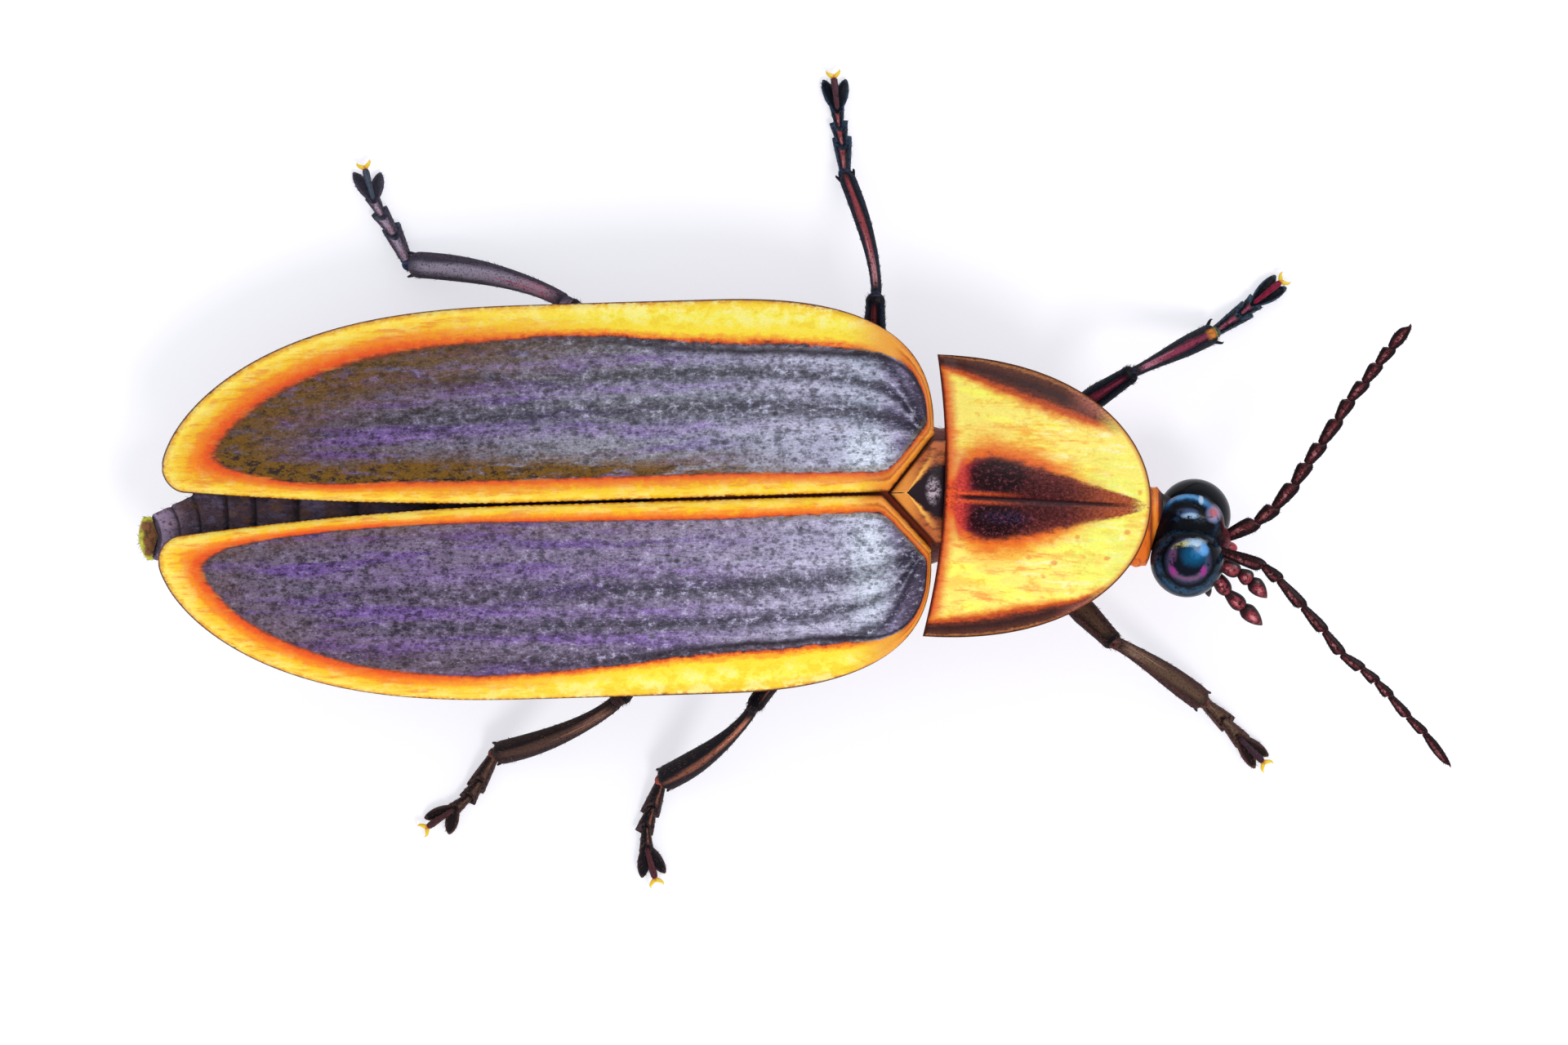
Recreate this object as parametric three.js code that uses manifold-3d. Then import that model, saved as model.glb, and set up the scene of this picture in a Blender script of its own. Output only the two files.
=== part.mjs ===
// A firefly in life size, as a still model.
// Millimetres, +X towards the head, +Y to the beetle's left, +Z up, the floor at z = 0.
// The modelling origin is on the floor under the middle of the pronotum's hind margin.

import * as THREE from "three";
import { LoftGeometry } from "three/addons/geometries/LoftGeometry.js";
import { mergeVertices } from "three/addons/utils/BufferGeometryUtils.js";
import Module from "manifold-3d";

const wasm = await Module();
wasm.setup();

// Driving dimensions
const BODY_LENGTH = 15; // from the front of the pronotum to the tips of the wing cases
const BODY_HEIGHT = 3.95; // top of the wing cases above the floor
const SHELL = 0.5; // thickness of the wing cases and the pronotum
const LIMB = 0.25; // half the thickness of a leg
const GAP = 0.1; // clear space between neighbouring pieces

// Wing cases: distances run backwards from their base, and sideways from the line between them
const CASE_LENGTH = 0.782 * BODY_LENGTH;
const CASE_HALF_WIDTH = 3.02;
const CASE_ROOT = 0.85; // where the front edge starts, beside the scutellum
const CASE_TIP = 0.73; // how far out the hind tip lies
const SHOULDER_END = 3; // the outer margin is straight from here
const TAPER_START = 6; // to here
const SUTURE = 0.05; // half the gap where the two wing cases meet
const SPLIT_START = 6.5; // the wing cases spread apart behind this
const TIP_SPREAD = 0.32;
const TIP_ROUND = 0.35;
const SCUTELLUM_REACH = 0.72;
const CASE_DROP = 1.2; // fall from the ridge to the outer margin
const CASE_TURN = THREE.MathUtils.degToRad(1.7);
const CASE_ORIGIN = new THREE.Vector3(-0.09, 0.016, 0);
const COSTAE = [0.37, 0.59, 0.74]; // raised lines, as shares of the width
const COSTA_HEIGHT = 0.07;
const COSTA_WIDTH = 0.045;

// Pronotum: lengths run forwards from the line through its hind corners
const PRONOTUM_LENGTH = 3.35;
const PRONOTUM_HALF_WIDTH = 2.14;
const PRONOTUM_HOLLOW = 0.3; // how far the hind margin curves in
const PRONOTUM_CROWN = 3.85;
const PRONOTUM_DROP = 1;
const PRONOTUM_GROOVE = 0.06;
const PRONOTUM_TURN = THREE.MathUtils.degToRad(-3);
const PRONOTUM_ORIGIN = new THREE.Vector3(-0.144, -0.01, 0);

// Trunk: each piece has its x range, half-widths and belly heights at both ends
const PROTHORAX = { rear: 0.3, front: 2.75, widths: [1.3, 0.9], bellies: [1.1, 1.3] };
const MESOTHORAX = { rear: -1.75, front: 0, widths: [2.05, 1.6], bellies: [0.95, 1.05] };
const METATHORAX = { rear: -4.25, front: -1.85, widths: [2.2, 2.05], bellies: [1, 0.95] };
const ABDOMEN_JOINTS = [-4.35, -6.1, -7.6, -8.8, -9.8, -10.45, -10.85, -11.25, -11.57, -11.87];
const ABDOMEN_WIDTHS = [2.15, 2.27, 2.27, 2.12, 1.85, 1.48, 1.1, 0.6, 0.45, 0.34]; // half-widths there
const TRUNK_SIDES = 20;
const LANTERN_HEIGHT = 1.55; // the pale plates reach up to here
const LANTERNS = { front: [-9.05, -9.95], rear: [-10.05, -11.1] }; // x ranges of the pale plates

// Head, in its own axes: x forwards, y to the left eye, z to its crown
const HEAD_CENTRE = new THREE.Vector3(3.82, -0.67, 1.85);
const HEAD_FORWARD = new THREE.Vector3(0.98, -0.156, -0.1);
const HEAD_LEFT = new THREE.Vector3(0.151, 0.8, -0.58);
const EYE_RADIUS = 0.56;
const EYE_SPREAD = 0.45;
const SKULL = { centre: [-0.05, 0, 0], radii: [0.62, 0.36, 0.5] };
const MOUTH = { centre: [0.4, -0.06, -0.34], radii: [0.3, 0.3, 0.26] };

// Feelers: centre lines from the head outwards
const ANTENNAE = {
  left: [
    [4.3, -0.68, 1.85], [4.85, -0.41, 2], [5.12, -0.19, 2.1], [5.41, 0.17, 2.2], [5.6, 0.48, 2.3],
    [5.81, 0.78, 2.4], [6.05, 1.15, 2.55], [6.22, 1.44, 2.7], [6.44, 1.71, 2.8], [6.63, 1.98, 2.95],
    [6.82, 2.22, 3.05], [7.07, 2.54, 3.2],
  ],
  right: [
    [4.3, -0.86, 2.05], [4.94, -1.09, 2.3], [5.17, -1.3, 2.4], [5.53, -1.71, 2.45], [5.85, -2.08, 2.5],
    [6.11, -2.43, 2.5], [6.42, -2.65, 2.5], [6.64, -2.84, 2.45], [6.85, -3.06, 2.4], [7.13, -3.38, 2.3],
    [7.39, -3.63, 2.2], [7.77, -4.12, 2],
  ],
};
const MAXILLARY_PALPS = {
  left: [[4.3, -1.06, 1.7], [4.6, -1.18, 1.7], [4.78, -1.31, 1.68], [5.02, -1.57, 1.6]],
  right: [[4.22, -1.2, 1.6], [4.43, -1.5, 1.5], [4.6, -1.66, 1.4], [4.97, -1.99, 1.2]],
};
const LABIAL_PALPS = {
  left: [[4.2, -1.0, 1.36], [4.44, -1.14, 1.22], [4.62, -1.24, 1.1]],
  right: [[4.04, -1.18, 1.42], [4.16, -1.42, 1.3], [4.2, -1.64, 1.2]],
};
const MANDIBLES = {
  left: [[4.42, -0.78, 1.58], [4.66, -0.86, 1.5], [4.74, -1.0, 1.44]],
  right: [[4.38, -1.02, 1.42], [4.62, -1.1, 1.34], [4.76, -1.02, 1.3]],
};

// Legs: joints from the root on the body to the foot, how far the middle of the tibia bows out of a
// straight line, then the two lobes and the claws of the foot
const ANKLE_HEIGHT = 0.35;
const FOOT_HEIGHT = 0.15;
const LEGS = {
  front_left: {
    root: [1.35, 0.5, 1.35], hip: [1.62, 0.98, 0.95], knee: [2.96, 1.86, 1.9], ankle: [4.28, 2.51],
    bow: [0, 0], foot: [[4.7, 2.8], [4.89, 2.96]], lobes: [[5.24, 3.4], [5.41, 3.21]], claw: [5.42, 3.38],
  },
  front_right: {
    root: [1.3, -0.6, 1.35], hip: [1.55, -1.08, 0.95], knee: [2.68, -2.25, 1.75], ankle: [4.12, -3.19],
    bow: [0, 0.05], foot: [[4.43, -3.47], [4.67, -3.74]], lobes: [[4.92, -4.22], [5.13, -4.03]],
    claw: [5.14, -4.22],
  },
  mid_left: {
    root: [-1, 0.45, 1.2], hip: [-1, 1.05, 0.8], knee: [-0.96, 3.03, 2], ankle: [-1.41, 4.96],
    bow: [0.06, 0], foot: [[-1.45, 5.41], [-1.5, 5.69], [-1.53, 5.95]], lobes: [[-1.75, 6.42], [-1.4, 6.43]],
    claw: [-1.6, 6.58],
  },
  mid_right: {
    root: [-1.1, -0.5, 1.2], hip: [-1.3, -1.1, 0.8], knee: [-2.83, -3.25, 1.85], ankle: [-4.24, -4.4],
    bow: [0.04, -0.12], foot: [[-4.39, -4.82], [-4.49, -5.13], [-4.48, -5.43]],
    lobes: [[-4.55, -5.91], [-4.19, -5.84]], claw: [-4.31, -6.05],
  },
  hind_left: {
    root: [-3.6, 0.6, 1.2], hip: [-3.95, 1.2, 0.8], knee: [-5.67, 2.92, 1.65], ankle: [-8.14, 3.56],
    bow: [0, 0.16], foot: [[-8.37, 4.03], [-8.56, 4.32], [-8.69, 4.56]],
    lobes: [[-9.01, 4.99], [-8.59, 4.99]], claw: [-8.86, 5.17],
  },
  hind_right: {
    root: [-3.5, -0.7, 1.2], hip: [-3.7, -1.3, 0.8], knee: [-4.88, -3.12, 1.9], ankle: [-6.81, -3.99],
    bow: [0, -0.14], foot: [[-7.06, -4.42], [-7.21, -4.65], [-7.44, -4.84]],
    lobes: [[-7.91, -4.99], [-7.53, -5.24]], claw: [-7.97, -5.2],
  },
};

// Colours
const CHARCOAL = 0x4b4656;
const YELLOW = 0xf2c53a;
const ORANGE = 0xd98a2c;
const BROWN = 0x33211f;
const PALE_GREEN = 0xe8e4b0;
const OLIVE = 0x9c8a3a;
const BLUE_BLACK = 0x141c28;
const RED_BROWN = 0x4a211f;

const { lerp, clamp } = THREE.MathUtils;
const UP = new THREE.Vector3(0, 0, 1);
const point = (list, height) => new THREE.Vector3(list[0], list[1], list[2] ?? height);

// Solids for cutting and joining

// A closed geometry as a solid: doubled vertices are merged and flat triangles dropped
function solid(geometry) {
  const bare = new THREE.BufferGeometry();
  bare.setAttribute("position", geometry.attributes.position);
  bare.setIndex(geometry.index);
  const merged = mergeVertices(bare, 1e-5);
  const index = merged.index.array;
  const faces = [];
  for (let i = 0; i < index.length; i += 3) {
    const [a, b, c] = index.subarray(i, i + 3);
    if (a !== b && b !== c && c !== a) faces.push(a, b, c);
  }
  const mesh = new wasm.Mesh({
    numProp: 3,
    vertProperties: new Float32Array(merged.attributes.position.array),
    triVerts: new Uint32Array(faces),
  });
  return new wasm.Manifold(mesh);
}

// The largest closed surface of a solid, back as a geometry
function geometryOf(shape) {
  const pieces = shape.decompose().sort((a, b) => b.volume() - a.volume());
  const mesh = pieces[0].getMesh();
  const geometry = new THREE.BufferGeometry();
  geometry.setAttribute("position", new THREE.BufferAttribute(new Float32Array(mesh.vertProperties), 3));
  geometry.setIndex(new THREE.BufferAttribute(new Uint32Array(mesh.triVerts), 1));
  geometry.computeVertexNormals();
  return geometry;
}

const joined = (shapes) => shapes.reduce((whole, shape) => whole.add(shape));

// A closed skin through rings of points, with its faces turned outwards. Each end is a fan round its centre.
function loft(rings) {
  const centre = (ring) => ring.reduce((sum, p) => sum.add(p), new THREE.Vector3()).divideScalar(ring.length);
  const fan = (ring) => ring.map(() => centre(ring));
  const closed = [fan(rings[0]), ...rings, fan(rings[rings.length - 1])];
  const shape = solid(new LoftGeometry(closed));
  if (shape.volume() > 0) return shape;
  return solid(new LoftGeometry(closed.map((ring) => [...ring].reverse())));
}

// An ellipsoid
function ball({ centre, radii }, grow = 0, columns = 16, rows = 10) {
  const sphere = new THREE.SphereGeometry(1, columns, rows);
  sphere.scale(radii[0] + grow, radii[1] + grow, radii[2] + grow);
  sphere.translate(...centre);
  return solid(sphere);
}

// A limb along a path: each ring is an oval square to the path, with its half-width and half-height
function limb(path, sizes, sides = 8) {
  const rings = path.map((centre, i) => {
    const before = path[Math.max(0, i - 1)];
    const after = path[Math.min(path.length - 1, i + 1)];
    const along = after.clone().sub(before).normalize();
    const across = new THREE.Vector3().crossVectors(UP, along).normalize();
    const over = new THREE.Vector3().crossVectors(along, across);
    return Array.from({ length: sides }, (_, k) => {
      const angle = ((k + 0.5) * 2 * Math.PI) / sides;
      return centre.clone()
        .addScaledVector(across, Math.cos(angle) * sizes[i][0])
        .addScaledVector(over, Math.sin(angle) * sizes[i][1]);
    });
  });
  return loft(rings);
}

// Keeps the part of a solid that lies ahead of a point, seen along a direction
function keepAhead(shape, at, direction) {
  return shape.trimByPlane(direction.toArray(), at.dot(direction) + GAP / 2);
}

// Unit direction that halves the bend at the middle of three points
function bisector(before, middle, after) {
  const first = middle.clone().sub(before).normalize();
  const second = after.clone().sub(middle).normalize();
  return first.add(second).normalize();
}

// Thin curved shells

// A shell over a leaf-shaped plan. Rings stand side by side along the plan, and each goes across the top
// face and back under it. Rims are rounded, because the thickness falls to nothing at them.
function shell({ start, end, rings, near, far, top, place, over, under, grow = 0 }) {
  const rim = SHELL / 2 + grow;
  const sections = [];
  for (let i = 0; i <= rings; i++) {
    const turn = Math.PI * lerp(0.03, 0.97, i / rings);
    const along = lerp(start - grow, end + grow, (1 - Math.cos(turn)) / 2);
    const inside = clamp(along, start + 0.01, end - 0.01);
    const low = near(inside) - grow;
    const high = far(inside) + grow;
    const at = (share, face) => {
      const across = lerp(low, high, share);
      const toRim = Math.min(across - low, high - across, along - start + grow, end + grow - along);
      const half = rim * Math.sqrt(1 - (1 - clamp(toRim / rim, 0, 1)) ** 2);
      return place(along, across, top(along, across, share, face) - SHELL / 2 + face * half);
    };
    sections.push([...over.map((share) => at(share, 1)), ...under.map((share) => at(share, -1))]);
  }
  return loft(sections);
}

// Outer margin of a wing case, at a distance behind its base
function caseOuter(s) {
  if (s < SHOULDER_END) {
    const rise = 1 - ((SHOULDER_END - s) / SHOULDER_END) ** 2;
    return lerp(CASE_ROOT, CASE_HALF_WIDTH, Math.max(0, rise) ** 0.35);
  }
  if (s < TAPER_START) return CASE_HALF_WIDTH;
  const fall = 1 - ((s - TAPER_START) / (CASE_LENGTH - TAPER_START)) ** 2.55;
  return lerp(CASE_TIP, CASE_HALF_WIDTH, Math.max(0, fall) ** 0.62);
}

// Inner margin: beside the scutellum, along the suture, then spreading towards the tip
function caseInner(s) {
  if (s < SCUTELLUM_REACH) return lerp(CASE_ROOT, SUTURE, s / SCUTELLUM_REACH);
  if (s < SPLIT_START) return SUTURE;
  const spread = SUTURE + TIP_SPREAD * ((s - SPLIT_START) / (CASE_LENGTH - SPLIT_START)) ** 1.6;
  const round = clamp((s - CASE_LENGTH + TIP_ROUND) / TIP_ROUND, 0, 1);
  return lerp(spread, CASE_TIP, 1 - Math.sqrt(1 - round ** 2));
}

// Height of the wing cases: a long ridge that falls to the tail and to the sides
function caseTop(s, q) {
  const ahead = Math.max(0, 1 - s / 3.5);
  const behind = Math.max(0, (s - 3.5) / (CASE_LENGTH - 3.5));
  const ridge = BODY_HEIGHT - 0.25 * ahead ** 2 - 1.35 * Math.min(1, behind) ** 2.4;
  const outer = caseOuter(clamp(s, 0, CASE_LENGTH));
  const share = clamp(q / outer, 0, 1);
  const fall = 1 - (1 - share ** 2.2) ** 1.3;
  return ridge - CASE_DROP * (outer / CASE_HALF_WIDTH) ** 1.5 * fall;
}

// Height of the three raised lines, which fade out at both ends
function costa(s, share) {
  const fade = clamp((s - 0.3) / 1.2, 0, 1) * clamp((CASE_LENGTH - 1 - s) / 3, 0, 1);
  const nearest = Math.min(...COSTAE.map((line) => Math.abs(share - line)));
  return COSTA_HEIGHT * fade * Math.max(0, 1 - nearest / COSTA_WIDTH);
}

function elytron(side, grow = 0) {
  const costaPoints = COSTAE.flatMap((line) => [line - COSTA_WIDTH, line, line + COSTA_WIDTH]);
  return shell({
    start: 0,
    end: CASE_LENGTH,
    rings: 26,
    near: caseInner,
    far: caseOuter,
    top: (s, q, share, face) => caseTop(s, Math.max(0, q)) + (face > 0 ? costa(s, share) : 0),
    place: (s, q, z) => new THREE.Vector3(-s, side * q, z),
    over: [0, 0.03, 0.1, 0.22, ...costaPoints, 0.87, 0.95, 0.985, 1],
    under: [0.96, 0.8, 0.6, 0.4, 0.2, 0.05],
    grow,
  });
}

const pronotumRear = (y) => PRONOTUM_HOLLOW * (1 - (y / PRONOTUM_HALF_WIDTH) ** 2);
const pronotumFront = (y) => PRONOTUM_LENGTH * (1 - (y / PRONOTUM_HALF_WIDTH) ** 2) ** (1 / 2.3);

// Height of the pronotum: a low dome, flatter in the middle
function pronotumTop(a, y) {
  const out = (y / PRONOTUM_HALF_WIDTH) ** 2 + (Math.max(0, a) / PRONOTUM_LENGTH) ** 2.3;
  return PRONOTUM_CROWN - PRONOTUM_DROP * (1 - (1 - clamp(out, 0, 1)) ** 1.25);
}

function pronotum(grow = 0) {
  const groove = (y) => PRONOTUM_GROOVE * Math.max(0, 1 - Math.abs(y) / 0.2);
  return shell({
    start: -PRONOTUM_HALF_WIDTH,
    end: PRONOTUM_HALF_WIDTH,
    rings: 26,
    near: pronotumRear,
    far: pronotumFront,
    top: (y, a, share, face) => pronotumTop(a, y) - (face > 0 ? groove(y) : 0),
    place: (y, a, z) => new THREE.Vector3(a, y, z),
    over: [0, 0.04, 0.12, 0.25, 0.4, 0.55, 0.7, 0.83, 0.93, 0.98, 1],
    under: [0.94, 0.75, 0.5, 0.25, 0.06],
    grow,
  });
}

// The small triangle between the bases of the wing cases
function scutellum() {
  const slope = (CASE_ROOT - SUTURE) / SCUTELLUM_REACH;
  const inset = GAP * Math.hypot(1, slope);
  const tip = (CASE_ROOT - inset) / slope;
  const half = (s) => Math.max(0.02, CASE_ROOT - inset - slope * Math.max(0, s));
  return shell({
    start: -0.1,
    end: tip,
    rings: 10,
    near: (s) => -half(s),
    far: half,
    top: (s) => 3.78 - 0.06 * Math.max(0, s),
    place: (s, q, z) => new THREE.Vector3(-s, q, z),
    over: [0, 0.08, 0.25, 0.5, 0.75, 0.92, 1],
    under: [0.8, 0.5, 0.2],
  });
}

// Trunk

const wingCases = new THREE.Group();
wingCases.position.copy(CASE_ORIGIN);
wingCases.rotation.z = CASE_TURN;
wingCases.updateMatrix();
const shield = new THREE.Group();
shield.position.copy(PRONOTUM_ORIGIN);
shield.rotation.z = PRONOTUM_TURN;
shield.updateMatrix();
const toCases = wingCases.matrix.clone().invert();
const toShield = shield.matrix.clone().invert();

// Highest that the trunk may reach under the wing cases, and under the pronotum
function underCases(x, y) {
  const local = new THREE.Vector3(x, y, 0).applyMatrix4(toCases);
  return caseTop(-local.x, Math.abs(local.y)) - SHELL - GAP;
}

function underShield(x, y) {
  const local = new THREE.Vector3(x, y, 0).applyMatrix4(toShield);
  return pronotumTop(local.x, local.y) - SHELL - GAP;
}

// The trunk's middle line, which drifts to the right towards the tail
const trunkMiddle = (x) => (x > -4 ? 0.025 * x : -0.1 - 0.56 * ((-4 - x) / 8) ** 1.5);

// One ring of the trunk: an oval from the belly to the back, held under a ceiling
function trunkRing(x, halfWidth, belly, back, ceiling) {
  return Array.from({ length: TRUNK_SIDES }, (_, k) => {
    const angle = (k * 2 * Math.PI) / TRUNK_SIDES;
    const y = trunkMiddle(x) + halfWidth * Math.cos(angle);
    const z = lerp(belly, back, (1 + Math.sin(angle)) / 2);
    return new THREE.Vector3(x, y, Math.min(z, ceiling(x, y)));
  });
}

// A length of the thorax
function thorax({ rear, front, widths, bellies }, ceiling, grow = 0) {
  const rings = [0, 0.12, 0.35, 0.6, 0.85, 1].map((share) => {
    const bulge = 0.06 * Math.sin(Math.PI * share) + grow;
    const x = lerp(rear - grow, front + grow, share);
    return trunkRing(x, lerp(...widths, share) + bulge, lerp(...bellies, share) - bulge, 3.6, ceiling);
  });
  return loft(rings);
}

// The abdomen: each segment is a plate that ends in a small step over the next one
function abdomen() {
  const rings = [];
  const last = ABDOMEN_JOINTS.length - 1;
  for (let segment = 0; segment < last; segment++) {
    [[0, -0.05], [0.12, 0], [0.9, 0.01]].forEach(([share, swell]) => {
      const x = lerp(ABDOMEN_JOINTS[segment], ABDOMEN_JOINTS[segment + 1], share);
      const halfWidth = lerp(ABDOMEN_WIDTHS[segment], ABDOMEN_WIDTHS[segment + 1], share);
      rings.push(trunkRing(x, halfWidth + swell, bellyHeight(x) - swell, 3.4, underCases));
    });
  }
  const rear = ABDOMEN_JOINTS[last];
  rings.push(trunkRing(rear, ABDOMEN_WIDTHS[last] - 0.06, bellyHeight(rear) + 0.06, 2.05, underCases));
  return loft(rings);
}

// Belly height of the abdomen, which rises towards the tail
function bellyHeight(x) {
  const along = (ABDOMEN_JOINTS[0] - x) / (ABDOMEN_JOINTS[0] + BODY_LENGTH - 3.1);
  return 1 + 0.5 * clamp(along, 0, 1) ** 2.2;
}

// A block that spans an x range of the abdomen, up to a height
function slab(rear, front, height) {
  const box = new THREE.BoxGeometry(front - rear, 6, height);
  box.translate((rear + front) / 2, 0, height / 2);
  return solid(box);
}

// The small plate that closes the tail
function pygidium() {
  const stations = [[-11.97, 0.32], [-12.1, 0.33], [-12.18, 0.29], [-12.22, 0.2]];
  const rings = stations.map(([x, halfWidth]) => {
    return Array.from({ length: 12 }, (_, k) => {
      const angle = (k * 2 * Math.PI) / 12;
      const y = trunkMiddle(x) + halfWidth * Math.cos(angle);
      return new THREE.Vector3(x, y, 1.78 + 0.6 * halfWidth * Math.sin(angle));
    });
  });
  return loft(rings);
}

// Head

const headFrame = new THREE.Group();
const headForward = HEAD_FORWARD.clone().normalize();
const headLeft = HEAD_LEFT.clone().addScaledVector(headForward, -HEAD_LEFT.dot(headForward)).normalize();
const headUp = new THREE.Vector3().crossVectors(headForward, headLeft);
headFrame.position.copy(HEAD_CENTRE);
headFrame.quaternion.setFromRotationMatrix(new THREE.Matrix4().makeBasis(headForward, headLeft, headUp));
headFrame.updateMatrix();

const eyeBall = (side) => ({ centre: [0.04, side * EYE_SPREAD, 0], radii: [EYE_RADIUS, EYE_RADIUS, EYE_RADIUS] });

// The head capsule: skull, mouth, two low bumps on the crown and the knobs that carry the antennae
function head(grow = 0) {
  const knobs = [1, -1].flatMap((side) => [
    { centre: [0.5, side * 0.13, 0.16], radii: [0.12, 0.11, 0.11] },
    { centre: [-0.12, side * 0.15, 0.4], radii: [0.2, 0.14, 0.14] },
  ]);
  const lumps = knobs.map((knob) => ball(knob, grow, 10, 6));
  return joined([ball(SKULL, grow), ball(MOUTH, grow, 12, 8), ...lumps]);
}

function eye(side) {
  const sphere = ball(eyeBall(side), 0, 20, 13);
  return sphere.subtract(head(GAP));
}

function labrum() {
  const plate = ball({ centre: [0.68, -0.02, -0.06], radii: [0.14, 0.2, 0.1] }, 0, 10, 6);
  return plate.subtract(head(GAP));
}

// The head and its eyes, grown by the gap and set in the model's frame, to cut what grows from them
function headClearance() {
  const eyes = [1, -1].map((side) => ball(eyeBall(side), GAP, 18, 12));
  return joined([head(GAP), ...eyes]).transform(headFrame.matrix.elements);
}

// Neck, from the prothorax to the back of the head
function neck() {
  const path = [point([2.86, -0.3, 1.95]), point([3.1, -0.42, 1.92]), point([3.5, -0.56, 1.88])];
  const tube = limb(path, [[0.72, 0.62], [0.66, 0.58], [0.5, 0.45]], 14);
  return tube.subtract(headClearance());
}

// Feelers

// A chain of beads: every segment starts narrow and widens towards its end
function beads(path, size) {
  const centres = [];
  const sizes = [];
  for (let i = 0; i < path.length - 1; i++) {
    const share = i / (path.length - 2);
    const { narrow, wide } = size(share);
    centres.push(path[i].clone().lerp(path[i + 1], 0.04), path[i].clone().lerp(path[i + 1], 0.72));
    sizes.push([narrow, narrow], [wide, wide]);
  }
  centres.push(path[path.length - 1]);
  sizes.push([0.06, 0.06]);
  return limb(centres, sizes, 6);
}

function antenna(side) {
  const path = ANTENNAE[side].map((place) => point(place));
  const size = (share) => {
    const root = clamp(share / 0.12, 0, 1);
    return { narrow: lerp(0.08, lerp(0.21, 0.13, share), root), wide: lerp(0.15, lerp(0.25, 0.16, share), root) };
  };
  return beads(path, size).subtract(headClearance());
}

function palp(places, width) {
  const path = places.map((place) => point(place));
  const size = (share) => ({ narrow: lerp(0.09, 0.11, share), wide: lerp(0.12, width, share) });
  return beads(path, size).subtract(headClearance());
}

function mandible(places) {
  const path = places.map((place) => point(place));
  return limb(path, [[0.1, 0.1], [0.09, 0.09], [0.02, 0.02]], 6).subtract(headClearance());
}

// Legs

// A leg piece between two joints, cut at each end along the half-angle of the joint. It may bow sideways.
function legPiece({ before, from, to, after, bow = [0, 0] }, sizes) {
  const overrun = (1.6 * LIMB) / from.distanceTo(to);
  const first = before ? -overrun : 0;
  const last = after ? 1 + overrun : 1;
  const path = sizes.map((_, i) => {
    const share = lerp(first, last, i / (sizes.length - 1));
    const bend = Math.max(0, 4 * share * (1 - share));
    return from.clone().lerp(to, share).add(new THREE.Vector3(bow[0] * bend, bow[1] * bend, 0));
  });
  let shape = limb(path, sizes, 10);
  if (before) shape = keepAhead(shape, from, bisector(before, from, to));
  if (after) shape = keepAhead(shape, to, bisector(from, to, after).negate());
  return shape;
}

// A foot: a chain of wedges, two leaf-like lobes, and a slender last segment with two claws
function tarsus(leg) {
  const places = [point(leg.ankle, ANKLE_HEIGHT), ...leg.foot.map((place) => point(place, FOOT_HEIGHT))];
  const start = places[0].clone().lerp(places[1], -0.5);
  const centres = [start];
  const sizes = [[0.2, 0.2]];
  for (let i = 0; i < places.length - 1; i++) {
    centres.push(places[i].clone().lerp(places[i + 1], 0.2), places[i].clone().lerp(places[i + 1], 0.9));
    sizes.push([0.17, 0.19], [0.25, 0.22]);
  }
  const last = places[places.length - 1];
  const lobes = leg.lobes.map((place) => {
    const end = point(place, 0.12);
    const path = [-0.1, 0.35, 0.75, 1].map((share) => last.clone().lerp(end, share));
    return limb(path, [[0.12, 0.16], [0.15, 0.14], [0.13, 0.12], [0.03, 0.08]], 6);
  });
  const tip = point(leg.claw, 0.08);
  const stem = last.clone().setZ(0.26);
  const fork = stem.clone().lerp(tip, 0.7).setZ(0.22);
  const stalk = limb([stem, fork], [[0.1, 0.1], [0.08, 0.08]], 6);
  const aside = new THREE.Vector3().crossVectors(UP, tip.clone().sub(stem)).normalize();
  const claws = [1, -1].map((side) => {
    const end = tip.clone().addScaledVector(aside, side * 0.1);
    const middle = fork.clone().lerp(end, 0.6).addScaledVector(aside, side * 0.04).setZ(0.2);
    const root = fork.clone().lerp(stem, 0.3);
    return limb([root, middle, end], [[0.05, 0.06], [0.045, 0.05], [0.015, 0.02]], 4);
  });
  const whole = joined([limb(centres, sizes, 8), ...lobes, stalk, ...claws]);
  const cut = keepAhead(whole, places[0], bisector(point(leg.knee), places[0], places[1]));
  return cut.trimByPlane(UP.toArray(), 0);
}

function legPieces(leg, bodyClearance) {
  const root = point(leg.root);
  const hip = point(leg.hip);
  const knee = point(leg.knee);
  const ankle = point(leg.ankle, ANKLE_HEIGHT);
  const foot = point(leg.foot[0], FOOT_HEIGHT);
  const coxaSizes = [[0.42, 0.42], [0.42, 0.42], [0.34, 0.36], [0.3, 0.3]];
  const femurSizes = [[LIMB, LIMB], [0.28, 0.28], [0.28, 0.28], [LIMB, LIMB]];
  const tibiaSizes = [[LIMB, LIMB], [LIMB, LIMB], [0.26, 0.26], [0.27, 0.27], [0.27, 0.27]];
  return {
    coxa: legPiece({ from: root, to: hip, after: knee }, coxaSizes).subtract(bodyClearance),
    femur: legPiece({ before: root, from: hip, to: knee, after: ankle }, femurSizes).subtract(bodyClearance),
    tibia: legPiece({ before: hip, from: knee, to: ankle, after: foot, bow: leg.bow }, tibiaSizes),
    tarsus: tarsus(leg),
  };
}

// The model

const firefly = new THREE.Group();

function addPiece(parent, name, shape, color, roughness) {
  const material = new THREE.MeshStandardMaterial({ color, roughness, metalness: 0 });
  const mesh = new THREE.Mesh(geometryOf(shape), material);
  mesh.name = name;
  parent.add(mesh);
}

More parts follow.
